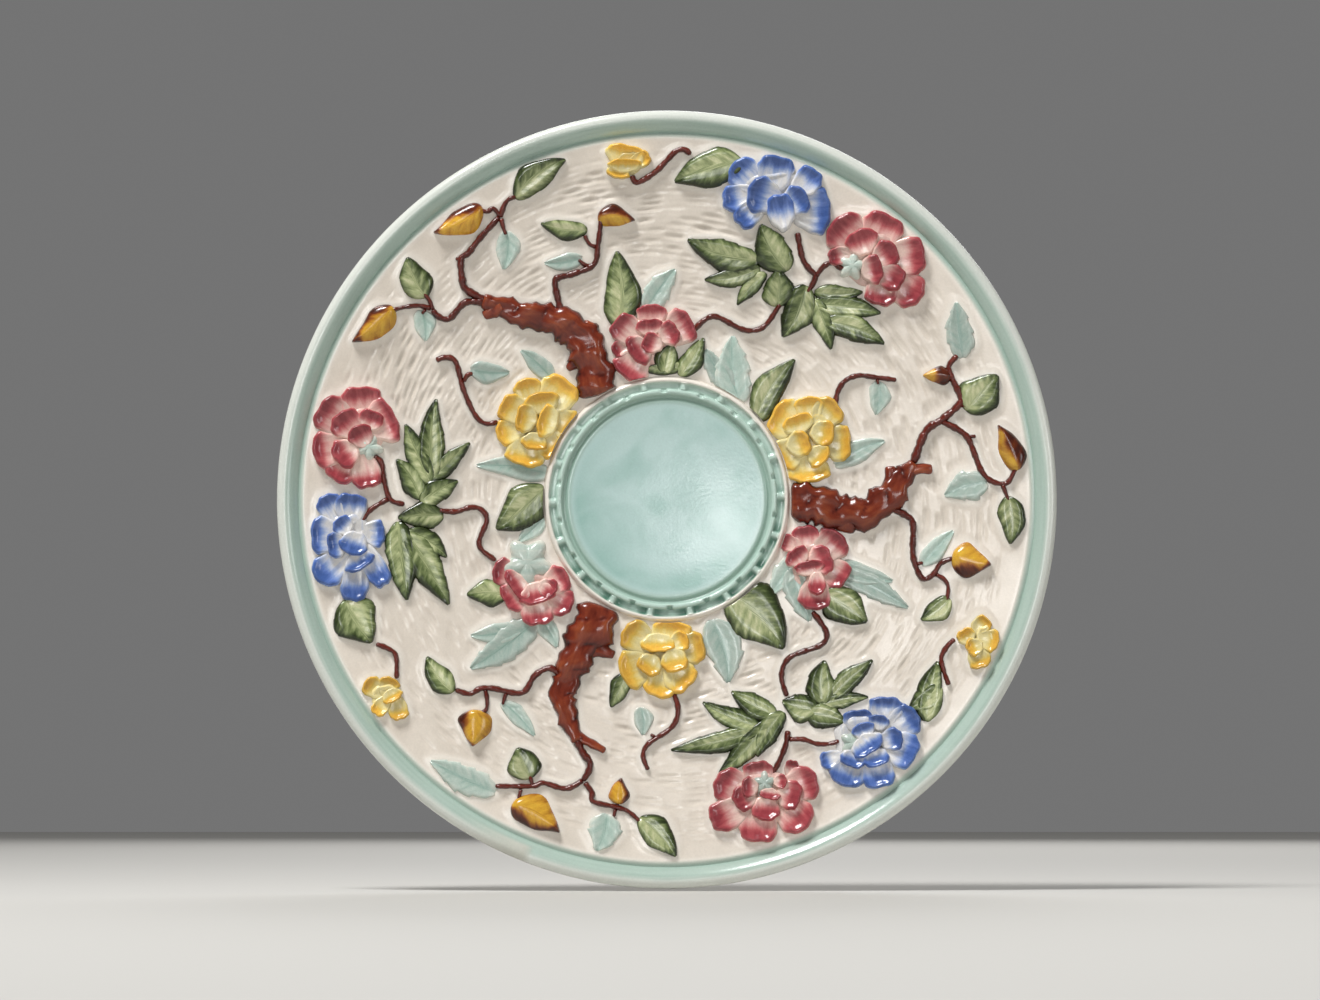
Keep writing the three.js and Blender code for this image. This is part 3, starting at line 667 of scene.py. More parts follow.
def painted_glaze(name, stops, brush=0.25, stretch=3.0, tone=0.16, grain=0.06):
    """A material whose colour follows the paint along stops. The brush moves the
    paint by a noise that is drawn out along the figure, grain breaks it up finely
    and tone is how much lighter or darker one figure is than another."""
    material, tree = new_material(name)
    place = add_node(tree, "TexCoord", output="Object")
    paint = add_node(tree, "Attribute", output="Fac", attribute_name="paint")
    own = add_node(tree, "Attribute", output="Fac", attribute_name="tone")
    way = add_node(tree, "Attribute", output="Vector", attribute_name="strokes")
    drawn = add_node(tree, "Mapping", {"Vector": way, "Scale": (1 / stretch, 1, 1)})
    hairs, fine, ripples = [
        add_node(tree, "TexNoise", {"Vector": where, "Scale": 1 / size, "Detail": detail})
        for where, size, detail in (
            (drawn, BRUSH_MM, 3),
            (place, GRAIN_MM * MM, 2),
            (place, RIPPLE_MM * MM, 2),
        )
    ]
    sway, own_value, fine_value, gloss = [
        add_node(tree, "MapRange", {0: source, 1: low, 2: high, 3: least, 4: most})
        for source, low, high, least, most in (
            (hairs, 0.25, 0.75, -brush, brush),
            (own, 0, 1, 1 - tone, 1 + tone),
            (fine, 0.3, 0.7, 1 - grain, 1 + grain),
            (hairs, 0.3, 0.7, FIGURE_ROUGHNESS, FIGURE_ROUGHNESS + FIGURE_UNEVEN),
        )
    ]
    thick = add_node(tree, "Math", {0: paint, 1: sway}, operation="ADD", use_clamp=True)
    washed = add_node(tree, "ValToRGB", {0: thick}, stops=stops)
    value = add_node(tree, "Math", {0: own_value, 1: fine_value}, operation="MULTIPLY")
    colour = add_node(tree, "HueSaturation", {"Value": value, "Color": washed})
    bump = add_node(
        tree, "Bump", {"Height": ripples, "Strength": FIGURE_RIPPLE, "Distance": RIPPLE_HEIGHT}
    )
    shader = add_node(
        tree,
        "BsdfPrincipled",
        {"Base Color": colour, "Roughness": gloss, "IOR": GLAZE_IOR, "Normal": bump},
    )
    add_node(tree, "OutputMaterial", {"Surface": shader})
    return material


chestnut = painted_glaze(
    "chestnut_underglaze",
    [(0, "#330D06"), (0.35, "#601F11"), (0.65, "#7B301B"), (1, "#964928")],
    brush=0.25,
)
trunk_figures = [trunk_figure(stations, number) for number, stations in enumerate(TRUNKS)]
trunks = join_figures("trunks", trunk_figures, chestnut)

# The branches: thin twigs that run from the trunks to leaves, buds and flowers, moulded with the dish as
# round strips.
# They are washed in dark maroon brown, thin and redder along their crests and dark down their sides, which
# also paints the shade and the highlight of each round twig.
BRANCH_ROW_MM = 0.9
BRANCH_COLUMNS = 11
BRANCH_STOUTNESS = 1.2
BRANCH_LIFT = 0.9
BRANCH_LIFT_PER_WIDTH = 0.55
# Each branch has its width at the root and at the end, and x and z of the points it runs through.
BRANCHES = [
    (3.6, 2.6, (-82, 91), (-93, 97), (-95, 102), (-95.5, 111), (-92, 114), (-87, 120.5), (-77.5, 131)),
    (2.2, 1.6, (-95.5, 110.5), (-98.5, 111.5)),
    (2.6, 1.8, (-77.5, 130), (-75.5, 136), (-73, 139), (-69.5, 140)),
    (2.4, 1.8, (-77, 130.5), (-76, 126), (-74.5, 122)),
    (2.4, 1.8, (-77, 130.5), (-80.5, 134.5), (-83.5, 133), (-88, 134.5)),
    (3.4, 2.6, (-82, 91), (-91, 91.5), (-95, 90), (-101, 83.5), (-106, 84.5), (-109, 88)),
    (2.4, 1.8, (-109, 88), (-115, 89.3), (-122, 88.5), (-129, 86.5)),
    (2.4, 1.8, (-108.5, 87), (-110, 91.5), (-113.5, 96)),
    (2, 1.5, (-111.5, 88), (-114, 85)),
    (3.2, 2.4, (-49, 86), (-52, 100), (-50, 103), (-44, 104.5), (-34, 109), (-32, 118), (-30.5, 130)),
    (2.2, 1.8, (-32.5, 117), (-36, 118.5), (-38.5, 123)),
    (2.2, 1.7, (-34.5, 108.5), (-38, 108.8), (-41.5, 111.5)),
    (2.6, 2.6, (-16.5, 150.5), (-14.5, 147), (-11, 148), (-5, 152), (0, 157), (4, 161), (8, 162),
     (11.5, 159.5)),
    (2.8, 2.2, (-107.5, 64), (-103, 65.5), (-98, 63.5), (-94.5, 51), (-89, 39), (-84, 35), (-78, 36)),
    (2.2, 2, (-94.5, 54), (-92.5, 57.5), (-89.5, 58.3)),
    (2.8, 2.6, (60.5, 124), (63, 112), (66, 107), (69, 103), (65, 95)),
    (2.6, 2.2, (69, 103), (73, 108), (77, 109.5), (81, 107), (86, 106.5)),
    (2.6, 2.4, (12, 78), (17, 83), (23, 85), (34, 79.5), (40, 78.5), (46, 81), (53, 91)),
    (2.6, 2.2, (78, 43), (79.5, 50), (83, 55), (89, 57.3), (96, 56.5), (107, 55)),
    (1.6, 1.4, (97.5, 56), (98.3, 52.5)),
    (3.8, 2.4, (114, 16), (120, 31), (127.5, 36.5), (135, 43), (136, 47), (131, 58), (131, 62), (135, 66.5)),
    (2.2, 1.8, (136, 43.5), (140, 41.5)),
    (3, 2.2, (127, 36), (136, 31), (140, 26.5), (145, 13.5), (149, 8.5), (154, 6.5), (158, 7.5), (162, 15.5)),
    (2, 1.6, (139, 28.5), (143.5, 28.5)),
    (2.2, 1.8, (155, 6.5), (158, -2)),
    (3.2, 2.2, (103, -4), (111, -8), (114, -12), (114, -27), (118, -37), (123, -35.5), (127, -30),
     (135, -27)),
    (2.2, 1.8, (124, -35), (128.5, -38), (130, -42), (129, -48.5)),
    (1.8, 1.5, (115, -30.5), (119, -29.8)),
    (2.4, 2.2, (133, -65), (129, -69), (126.5, -74), (127.5, -79.5), (130, -87)),
    (2.8, 2.4, (67, -52), (71, -57), (74, -63), (71, -68), (57, -73.5), (53, -82), (55.5, -92)),
    (2.8, 2.2, (56, -107), (54.5, -115), (50, -125), (46.5, -129)),
    (2.4, 2, (56, -111.5), (63, -111.5), (69, -113.5), (75, -113.5), (80, -112)),
    (2.6, 2.4, (-135.5, 20), (-132, 16), (-131, 9), (-128, -0.5), (-121, -3)),
    (2.4, 2.2, (-128.5, 0), (-137, -5.5), (-141, -11)),
    (2.6, 2.4, (-106, -5.5), (-98, -6), (-91, -4), (-86, -5), (-83.5, -10), (-87, -21.5), (-79, -29)),
    (2.4, 2.2, (-134.5, -67.5), (-129, -69.5), (-125, -73), (-124.5, -84)),
    (3.6, 2.8, (-42, -111), (-38.5, -118), (-35.5, -122), (-36, -126), (-39, -131)),
    (2.8, 2.2, (-38.5, -130), (-43, -133), (-48, -134), (-57, -131.5), (-62, -133), (-79.5, -133)),
    (2, 1.7, (-61.5, -133.5), (-63.5, -127)),
    (1.8, 1.6, (-67, -134), (-68.5, -140)),
    (2.8, 2, (-38, -131), (-34.5, -136), (-34, -140), (-24, -142.5), (-18, -144.5), (-12, -149.5)),
    (2, 1.7, (-23.2, -143.5), (-22.2, -137.5)),
    (1.8, 1.6, (-23.5, -143), (-24.5, -147.5)),
    (3, 2.4, (-48, -83), (-54, -78.5), (-61, -82), (-67, -90), (-80, -88), (-86, -88), (-91, -90.5),
     (-98, -88.5)),
    (2.2, 1.8, (-84, -88), (-83, -93), (-83.5, -98), (-88, -100)),
    (2, 1.7, (-74, -89.5), (-76, -96)),
    (2.6, 2.2, (3, -89.5), (5, -96), (4.5, -102), (1, -107), (-8.5, -113.5), (-11, -119), (-8.5, -126)),
    (1.8, 1.5, (-5, -110.5), (-8, -109)),
]


def branch_figure(branch, number):
    """A twig: a half round along a smooth way, tapered from root to end, knotted
    where it swells, with round ends."""
    root_width, end_width, *way_points = branch
    widths = np.linspace(root_width, end_width, len(way_points))
    line, way = smooth_way([(x, z, width) for (x, z), width in zip(way_points, widths)], BRANCH_ROW_MM)
    share = np.linspace(-1, 1, BRANCH_COLUMNS)[None, :]
    phase = 2.1 * number
    knots = 1 + 0.09 * np.sin(way * 0.8 + phase) + 0.07 * np.sin(way * 1.9 + 3 * phase)
    half = (line[:, 2] * BRANCH_STOUTNESS * knots / 2)[:, None]
    from_end = np.minimum(way, way[-1] - way)[:, None] / half
    end = np.sqrt(np.clip(1 - (1 - np.clip(from_end, 0.02, 1)) ** 2, 0.02, 1))
    place = line[:, None, :2] + across_of(line)[:, None] * (share * half * end)[..., None]
    arch = np.sqrt(np.clip(1 - np.abs(share) ** 2.2, 0, 1))
    crown = BRANCH_LIFT + BRANCH_LIFT_PER_WIDTH * 2 * half
    lift = -ROOT_DEPTH + (crown + ROOT_DEPTH) * arch * end
    lift[[0, -1]] = -ROOT_DEPTH
    # Painted shade and highlight: the paint follows the twig's arch, dark down its sides and lighter along
    # its crest.
    paint = 0.75 * arch + 0.2 * (knots - 1)[:, None]
    points = on_field(place[..., 0], place[..., 1], lift)
    return points, sheet_faces(*points.shape[:2]), paint, way[:, None] + 0 * share, share * half


maroon = painted_glaze(
    "maroon_underglaze",
    [(0, "#260703"), (0.4, "#45140C"), (0.75, "#5B1E14"), (1, "#753226")],
    brush=0.2,
)
branch_figures = [branch_figure(branch, number) for number, branch in enumerate(BRANCHES)]
branches = join_figures("branches", branch_figures, maroon)

# The green leaves: single leaves on the twigs, and sprays of pointed leaflets below
# the flowers, pressed with a sunk midrib and slanting veins. The edges are painted
# dark green and the middle is left pale yellow-green.
STALK_REACH = 2
LEAF_ROWS = 40
LEAF_COLUMNS = 21
LEAF_LIFT = 2
LEAF_LIFT_PER_WIDTH = 0.08
LEAF_BOW = 0.08
LEAF_WAVE = 0.08
LEAF_BREADTH = 1.12
SPRAY_BREADTH = 1.12
EDGE_PAINT_SHARE = 0.19
TOOTH_MM = 7
VEIN_MM = 5
SINGLE_JAG, SINGLE_WASH = 0.04, 0.22
SPRAY_JAG, SPRAY_WASH = 0.1, 0.31
# Each leaf has x and z of its stalk end, x and z of its tip, and its width.
SINGLE_LEAVES = [
    (-69.5, 140.5, -46.5, 157.5, 13), (-112.5, 94.5, -120.5, 112, 14), (-38.5, 125, -59, 128, 9),
    (-22, 80.5, -23.3, 116, 16.5), (34, 155.5, 3, 147, 17), (-147, -48, -136, -67.5, 20),
    (119.5, -102, 125, -75, 12), (125, -88, 111, -97.5, 12), (-57.5, 4.5, -79.5, -14.5, 19),
    (42, 37, 60, 65.5, 14), (29, -43, 54.6, -70, 25), (74, -44.5, 93, -57.5, 17),
    (-76, -45, -93, -44.5, 12), (-19, -82, -26, -97, 9), (-1, 60, 2.5, 73, 11),
    (7, 58.5, 17.5, 75.5, 10), (7.5, 61.5, -12.5, 59.8, 6), (139.5, 41.5, 153.5, 57, 18),
    (157.5, -1, 158.5, -22, 12), (129.5, -47.5, 117, -56.5, 10), (-99.5, -88.5, -111, -73, 11),
    (-63.5, -128, -69, -115, 15), (-11.5, -148.5, 4.5, -165.5, 13),
]
SPRAY_LEAVES = [
    (42, 111, 9, 121, 13), (42, 107, 17, 102, 9), (55, 107, 43.5, 128, 15), (51, 91, 52, 107, 14),
    (45, 104, 32.5, 90, 7), (70, 96, 91.5, 96, 8), (70, 90, 100, 86, 10), (74, 82, 101.5, 71.5, 11),
    (69, 92, 76.5, 69, 9), (64, 98, 53.5, 75, 14), (-107.5, 10, -106.8, 47, 11),
    (-110, 8, -121.5, 35, 10), (-115, 1, -125.5, 18.5, 10), (-110, 9, -91, 26.5, 8),
    (-113, -1, -96.5, 8.5, 10), (-105, -8, -125, -9, 11), (-124, -12, -120, -48, 13),
    (-120, -16, -100.5, -50, 13), (-119, -16, -101.5, -27.5, 9), (68, -97.5, 53, -93.5, 12),
    (72, -94, 73, -74.5, 12), (76, -92, 95.5, -74.5, 9), (71, -96, 93.5, -92, 7),
    (66, -99.5, 83, -103.5, 11), (49, -99.5, 29.5, -89, 10), (42, -105, 16, -94, 9),
    (43, -107, 1, -116.5, 9), (45, -104, 23.5, -127.5, 10), (53, -100, 41.5, -120, 10),
]


def leaf_figure(leaf, number, plump=1.0, fold=0.28, veins=0.03, jag=0.06, flat=4, outline=(0.75, 0.88)):
    """A leaf on a grid from stalk to tip and from side to side. Its half width is a sine arch with teeth:
    the first of outline's powers sets how near the stalk it is fullest and the second how pointed it is.
    Its middle line bows to one side. Two halves swell on each side of a sunk midrib, veins are cut into
    them, and the border goes down into the field, the more suddenly the greater flat is. Besides points
    and faces it gives the brush's ways along and across, and the marks that the paint follows."""
    stalk_x, stalk_z, tip_x, tip_z, width = leaf
    along = np.linspace(0.004, 0.996, LEAF_ROWS)[:, None]
    across = np.linspace(-1, 1, LEAF_COLUMNS)[None, :]
    out = np.abs(across)
    run = np.array([tip_x - stalk_x, tip_z - stalk_z])
    way_x, way_z = run / np.hypot(*run)
    length = np.hypot(*run) + STALK_REACH
    teeth = (along * length / TOOTH_MM + 0.37 * number + 0.25 * np.sign(across)) % 1
    wave = 1 + LEAF_WAVE * np.sin(10 * along + 2.6 * number + 1.9 * np.sign(across)) * out
    full = LEAF_BREADTH * width / 2
    half = full * np.sin(np.pi * along ** outline[0]) ** outline[1] * (1 - jag * teeth * out**2) * wave + 0.25
    bow = LEAF_BOW * length * (2 * scatter(number, 5) - 1)
    side = across * half + bow * 4 * along * (1 - along)
    x = tip_x - way_x * (1 - along) * length + way_z * side
    z = tip_z - way_z * (1 - along) * length - way_x * side
    edge = np.clip(1 - out**flat, 0, 1) ** 0.6
    tip = np.clip(1 - (2 * along - 1) ** 10, 0, 1) ** 0.5
    swell = 1 - fold * (np.cos(np.pi * out) * 0.5 + 0.5)
    vein_place = np.abs((along * length / VEIN_MM - out * 1.2 + 0.5) % 1 - 0.5)
    vein = np.exp(-((vein_place / 0.16) ** 2)) * ease(0.05, 0.25, out) * ease(1, 0.75, out)
    crown = plump * (LEAF_LIFT + LEAF_LIFT_PER_WIDTH * width)
    lift = -ROOT_DEPTH + (crown * swell + ROOT_DEPTH) * edge * tip - veins * vein
    lift[[0, -1]] = -ROOT_DEPTH
    lift[:, [0, -1]] = -ROOT_DEPTH
    midrib = np.exp(-((across / 0.1) ** 2)) * ease(1, 0.8, along)
    way, aside = along * length + 0 * out, out * half
    slant, square = (way + aside) / np.sqrt(2), (way - aside) / np.sqrt(2) + 9 * np.sign(across)
    marks = {"along": along, "across": across, "inside": (1 - out) * half, "vein": vein, "midrib": midrib}
    return on_field(x, z, lift), sheet_faces(LEAF_ROWS, LEAF_COLUMNS), (slant, square), marks


def green_leaf(leaf, number, jag, wash):
    """A green leaf's relief and paint: a wash all over, thick at the edge and thin at the ends, with one half
    painted darker as shade, as if the leaf were folded and lit from one side."""
    points, faces, strokes, marks = leaf_figure(leaf, number, jag=jag)
    along, side = marks["along"], 1 if number % 2 else -1
    # Painted shade: one half of the leaf is painted darker, as if it were folded and lit from one side.
    shade = 0.17 * np.tanh(marks["across"] * 4) * side
    ends = 0.2 * ease(0.3, 0, along) + 0.1 * ease(0.8, 1, along)
    edge = 0.9 * np.exp(-((marks["inside"] / (EDGE_PAINT_SHARE * leaf[4])) ** 1.2))
    paint = wash + edge + shade - ends + 0.02 * marks["vein"] + 0.06 * marks["midrib"]
    return points, faces, paint, *strokes


olive = painted_glaze(
    "olive_green_underglaze",
    [(0, "#C9CAA0"), (0.25, "#A5AD7E"), (0.5, "#717D51"), (0.75, "#43502B"), (1, "#242D13")],
    brush=0.32,
)
singles = [green_leaf(leaf, number, SINGLE_JAG, SINGLE_WASH) for number, leaf in enumerate(SINGLE_LEAVES)]
broad_sprays = [(*leaf[:4], leaf[4] * SPRAY_BREADTH) for leaf in SPRAY_LEAVES]
sprays = [green_leaf(leaf, number, SPRAY_JAG, SPRAY_WASH) for number, leaf in enumerate(broad_sprays)]
green_leaves = join_figures("green_leaves", singles + sprays, olive)

# The blue-green leaves: the same pressed leaves, and the star-shaped calyxes behind the flowers, in a thin
# duck-egg wash that almost melts into the cream at the edges. The colour stands darkest in the midrib.
CALYX_POINTS = 5
CALYX_RINGS = 14
CALYX_COLUMNS = 90
CALYX_NOTCH = 0.66
CALYX_LIFT = 3.2
BIG_LEAF_WIDTH = 11.5
BIG_LEAF_JAG = 0.22
SMALL_LEAF_JAG = 0.05
# Each leaf has the same numbers as a green one.
BLUE_LEAVES = [
    (-74.5, 123, -76, 106, 11), (-40.5, 112, -57.5, 109.5, 8), (-114, 86, -112, 72.5, 10),
    (-90, 60, -72.5, 59, 10), (-54, 56, -68.5, 69.5, 9), (-54, 11, -89.5, 15.5, 11),
    (-9, 89, 4.5, 107.5, 13), (34, 46, 31, 77, 18), (30, 52, 17.5, 70.5, 12), (98, 53, 97, 38.5, 10),
    (79, 16, 102, 27, 11), (137, 66, 134, 91.5, 13.5), (147, 6.5, 128, 1, 15),
    (118.5, -30, 133, -14.5, 9), (80, -34, 112.5, -51.5, 12), (79, -31, 105.5, -38.5, 10),
    (58, -33, 66.5, -57.5, 15), (60, -27, 47.5, -45, 12), (21, -57, 28.5, -86, 19),
    (-12, -98, -11, -110, 9), (-28, -147, -32.5, -163, 16), (-79.5, -135.5, -109.5, -121, 14),
    (-75.5, -95, -60.5, -110.5, 8), (-61, -57, -91.5, -79.5, 16), (-68, -60, -91.5, -63.5, 10),
    (-59, -56, -50.5, -69.5, 9), (-57, -8, -69.5, -20.5, 8),
]
# Each calyx has x and z of its middle, the length of its points, and the direction of the first in degrees.
CALYXES = [
    (86, 108, 7.5, 150), (-138, 23.5, 7.5, 60), (45, -131.5, 6.5, 90), (-64.5, -29.5, 13, 198),
    (86, -113, 7.5, 150),
]


def blue_leaf(leaf, number):
    """A blue-green leaf's relief and paint: thin at the edge, fuller inside and
    thickest along the midrib. The big leaves have deep teeth."""
    jag = BIG_LEAF_JAG if leaf[4] > BIG_LEAF_WIDTH else SMALL_LEAF_JAG
    points, faces, strokes, marks = leaf_figure(leaf, number, plump=0.65, fold=0.5, veins=0.07, jag=jag)
    inner = (1 - marks["across"] ** 2) * ease(0, 0.2, marks["along"])
    paint = 0.12 + 0.42 * inner + 0.25 * marks["midrib"] + 0.05 * marks["vein"]
    return points, faces, paint, *strokes


def disc_faces(rings, columns):
    """Faces of a round grid that is closed behind: a fan about the middle, quads, and
    one face round the border. The middle point comes first and the rings follow."""
    index = 1 + round_net(rings, columns)
    fan = np.stack([np.zeros(columns, int), index[0, 1:], index[0, :-1]], axis=-1)
    return fan.tolist() + net_faces(index) + [index[-1, :-1].tolist()]


def one_middle(grid):
    """A round grid as one row of points: its innermost ring, which is all one place, becomes one point."""
    return np.concatenate([grid[:1, :1], grid[1:].reshape(1, -1, *grid.shape[2:])], axis=1)


def calyx_figure(calyx):
    """A calyx's relief and paint: a low dome whose reach swings between its points and the notches between
    them as the square of a cosine. Grooves run in from the notches, and the paint lies thickest in them."""
    middle_x, middle_z, length, first = calyx
    turn = np.linspace(0, 2 * np.pi, CALYX_COLUMNS, endpoint=False)[None, :]
    ring = np.linspace(0, 1, CALYX_RINGS + 1)[:, None]
    point = np.cos(CALYX_POINTS / 2 * (turn + np.radians(first))) ** 2
    reach = length * (CALYX_NOTCH + (1 - CALYX_NOTCH) * point) * ring
    groove = np.exp(-point / 0.12) * ease(0.1, 0.6, ring)
    top = CALYX_LIFT + 0.7 * (1 - ring**2) - 0.35 * groove
    lift = -ROOT_DEPTH + (top + ROOT_DEPTH) * np.sqrt(np.clip(1 - ring**4, 0, 1))
    lift[-1] = -ROOT_DEPTH
    paint = 0.36 + 0.15 * groove - 0.3 * ring**3
    points = on_field(middle_x + reach * np.cos(turn), middle_z - reach * np.sin(turn), lift)
    points, *others = [one_middle(grid) for grid in (points, paint, reach, reach * np.sin(turn))]
    return points, disc_faces(CALYX_RINGS, CALYX_COLUMNS), *others


duck_egg = painted_glaze(
    "duck_egg_underglaze",
    [(0, "#D4D2C6"), (0.3, "#BAC6BC"), (0.6, "#A2B7AC"), (0.85, "#86A296"), (1, "#6C8E81")],
    brush=0.2,
)
leaves = [blue_leaf(leaf, number) for number, leaf in enumerate(BLUE_LEAVES)]
calyxes = [calyx_figure(calyx) for calyx in CALYXES]
blue_leaves = join_figures("blue_green_leaves", leaves + calyxes, duck_egg)

# The buds: plump pointed buds at the twig ends, moulded with the dish like the leaves
# but full and smooth. They are painted amber yellow, with one side dipped in dark brown.
BUD_PLUMPNESS = 1.4
BUD_FOLD = 0.04
BUD_JAG = 0.02
BUD_OUTLINE = (0.66, 1)
# Each bud has a leaf's numbers, the direction of its brown side in degrees from the
# right, and the brown's share.
BUDS = [
    (-87, 134.3, -108.5, 123, 12, 115, 0.6), (-128, 87.5, -146, 72, 12, 135, 0.55),
    (-30.5, 131, -14.5, 129.5, 10, 90, 0.5), (130, 56, 118.5, 57, 8, 0, 0.5),
    (161.5, 14, 153, 34, 11, 20, 0.6), (133.5, -27, 150, -31, 15, 270, 0.35),
    (-88, -99.5, -89.5, -115, 15, 180, 0.15), (-69.5, -141.5, -49, -154.5, 15, 245, 0.5),
    (-22, -139.5, -21, -129, 9, 0, 0.4),
]


def bud_figure(bud, number):
    """A bud's relief and paint: a plump leaf without veins, brown beyond a wavy line
    that leaves the brown its share."""
    *leaf, brown, brown_share = bud
    points, faces, strokes, marks = leaf_figure(
        leaf, number, plump=BUD_PLUMPNESS, fold=BUD_FOLD, veins=0, jag=BUD_JAG, flat=2, outline=BUD_OUTLINE
    )
    off_x = points[..., 0] - (leaf[0] + leaf[2]) / 2
    off_z = points[..., 2] - (leaf[1] + leaf[3]) / 2
    brown_way = off_x * np.cos(np.radians(brown)) + off_z * np.sin(np.radians(brown))
    wavy = 0.2 * np.sin(marks["along"] * 7 + number)
    brown_tip = 0.6 * ease(0.75, 0.95, marks["along"])
    beyond = brown_way / (leaf[4] / 2) + wavy + brown_tip + brown_share
    paint = 0.18 + 0.66 * ease(0.4, 1.1, beyond) + 0.25 * np.abs(marks["across"]) ** 3
    return points, faces, paint, *strokes


amber = painted_glaze(
    "amber_underglaze",
    [(0, "#DDB03E"), (0.25, "#CB9831"), (0.5, "#9C5E20"), (0.75, "#622810"), (1, "#411608")],
    brush=0.22,
)
bud_figures = [bud_figure(bud, number) for number, bud in enumerate(BUDS)]
buds = join_figures("buds", bud_figures, amber)

# The flowers: full-blown roses of cupped petals in two tiers, each petal pressed with a raised lip. The
# paint is strong along the lip and is drawn out to bare cream towards the heart, in pink, blue or yellow.
PETAL_RINGS = 20
PETAL_COLUMNS = 44
PETAL_OVERLAP = 1.15
OUTER_ROOT = 1.7
INNER_ROOT = 1.15
OUTER_LIFT = 2.7
INNER_LIFT = 4
LIFT_STEP = 0.22
LIP_LIFT = 0.8
HOLLOW_DEPTH = 0.9
CUSHION_LIFT = 1.7
CUSHION_SHARE = 0.66
CUSHION_MARGIN = 2
CUSHION_SPREAD = 0.8
FULL_PETAL_WIDTH = 7
# Each petal has x and z of its middle, the way its lip faces in degrees from the right, and half
# its length and half its width. A flower's first list is its outer tier, and the second lies on it.
BLUE_FLOWERS = [
    (
        [(36, 150.5, 135, 7, 7), (50.5, 152.5, 80, 6.2, 8), (65.5, 147.5, 50, 5.8, 6),
         (69.5, 133.5, 0, 6.2, 10), (32.5, 139.5, 190, 6.5, 6), (37.5, 131.8, 225, 6, 5.5)],
        [(44.5, 140.5, 165, 7, 8), (60, 138, 30, 5.5, 6.5), (53, 133.5, 100, 7.5, 6)],
    ),
    (
        [(-155.5, -4, 120, 5.5, 5.5), (-146, -3.8, 85, 5.5, 7), (-159, -17.5, 180, 5, 8.3),
         (-155.5, -33, 225, 7.5, 7), (-144, -40, 265, 8, 6), (-134.5, -33, 300, 8.5, 5),
         (-134.5, -16.5, 0, 4, 6)],
        [(-149.5, -13, 135, 4, 4.5), (-152.5, -22, 190, 4, 5.8), (-142, -29.5, 300, 3.8, 6.8),
         (-144.5, -21.5, 250, 5, 6.2)],
    ),
    (
        [(101, -97, 85, 5, 7.5), (110, -103, 30, 6, 7), (109, -116.5, 335, 6, 8),
         (97, -127.5, 280, 6.2, 7.2), (83, -127, 250, 6, 7.5), (74.5, -121, 200, 3.8, 4),
         (88, -102, 95, 4, 6.5)],
        [(97.5, -103.5, 80, 3.2, 4.5), (103.5, -111.5, 10, 4.8, 5), (85.5, -120.5, 250, 3.8, 5.5),
         (96, -120, 285, 4, 5.8), (90.5, -107.5, 110, 3.6, 5), (92, -114, 305, 4.4, 7.5)],
    ),
]
PINK_FLOWERS = [
    (
        [(83.5, 123, 135, 8, 9), (100, 125, 65, 6.8, 9), (112.5, 112, 5, 7, 8.5),
         (111.5, 97, 325, 7.5, 7.5), (99.5, 95.5, 260, 5.8, 7), (80, 112.5, 190, 5, 4)],
        [(90.5, 119, 110, 5.5, 7), (101.5, 113, 30, 5.5, 6), (104, 102.5, 330, 6, 5.8),
         (95.5, 106, 10, 4.4, 6.5)],
    ),
    (
        [(-141.5, 44.5, 95, 6.8, 9), (-155, 38.5, 145, 6.5, 8.5), (-157.5, 22, 190, 5.8, 8),
         (-150.5, 13, 240, 5.8, 6.8), (-139, 10.5, 280, 5.8, 6.5), (-130.5, 36, 25, 5, 10)],
        [(-148, 34, 130, 6, 7), (-137, 36, 70, 4.5, 5.5), (-148.5, 20.5, 215, 5.5, 6.5),
         (-141.5, 28.5, 120, 5, 5.5)],
    ),
    (
        [(42, -126.5, 95, 4.8, 6.5), (29.5, -133, 150, 7.5, 7.5), (27.5, -146, 205, 7.8, 6.8),
         (42, -151.5, 265, 7, 8.2), (58.5, -146, 315, 8, 7.8), (62.5, -132, 20, 6.8, 7.5),
         (57.5, -124.5, 80, 3.4, 3)],
        [(35.5, -138.5, 205, 5, 5.5), (45.5, -143.5, 265, 5.2, 6), (56.5, -137, 345, 5, 6.5),
         (38, -133.5, 180, 3.5, 4.5), (52.3, -130.8, 0, 2.8, 3.2), (47.5, -136.8, 260, 2.4, 4.5)],
    ),
    (
        [(-7, 86, 90, 4.5, 6.5), (7, 80.5, 30, 5.2, 8), (-19.5, 79.5, 140, 5.8, 6.5),
         (-21.5, 70, 200, 4, 3.8), (-16.5, 61.5, 235, 5.5, 8)],
        [(-8, 80, 95, 3.6, 6), (1, 77, 25, 4.5, 5.5), (-13, 69.5, 215, 4.5, 7),
         (-7, 72.5, 160, 4.4, 4.6)],
    ),
    (
        [(-75.5, -34, 165, 5, 6), (-71, -45.5, 215, 4.8, 7), (-60, -53, 275, 5.5, 7),
         (-49.5, -47.5, 330, 6, 6.2), (-50.5, -37.5, 30, 5, 6.2)],
        [(-69, -40, 215, 3.6, 8), (-60, -44, 285, 4.6, 8), (-55, -41.5, 330, 4, 4.5)],
    ),
    (
        [(64.5, -18, 95, 5.5, 6), (76.5, -21, 45, 6, 7.5), (56.5, -20.5, 160, 3.8, 3.8),
         (79, -35, 325, 5, 6.5), (68.5, -45.5, 265, 5.8, 7)],
        [(60.5, -27, 130, 4, 5.5), (71.5, -28.5, 20, 5, 6.5), (66, -32, 100, 3.2, 6.5),
         (69.5, -39.5, 270, 5, 3.8)],
    ),
]
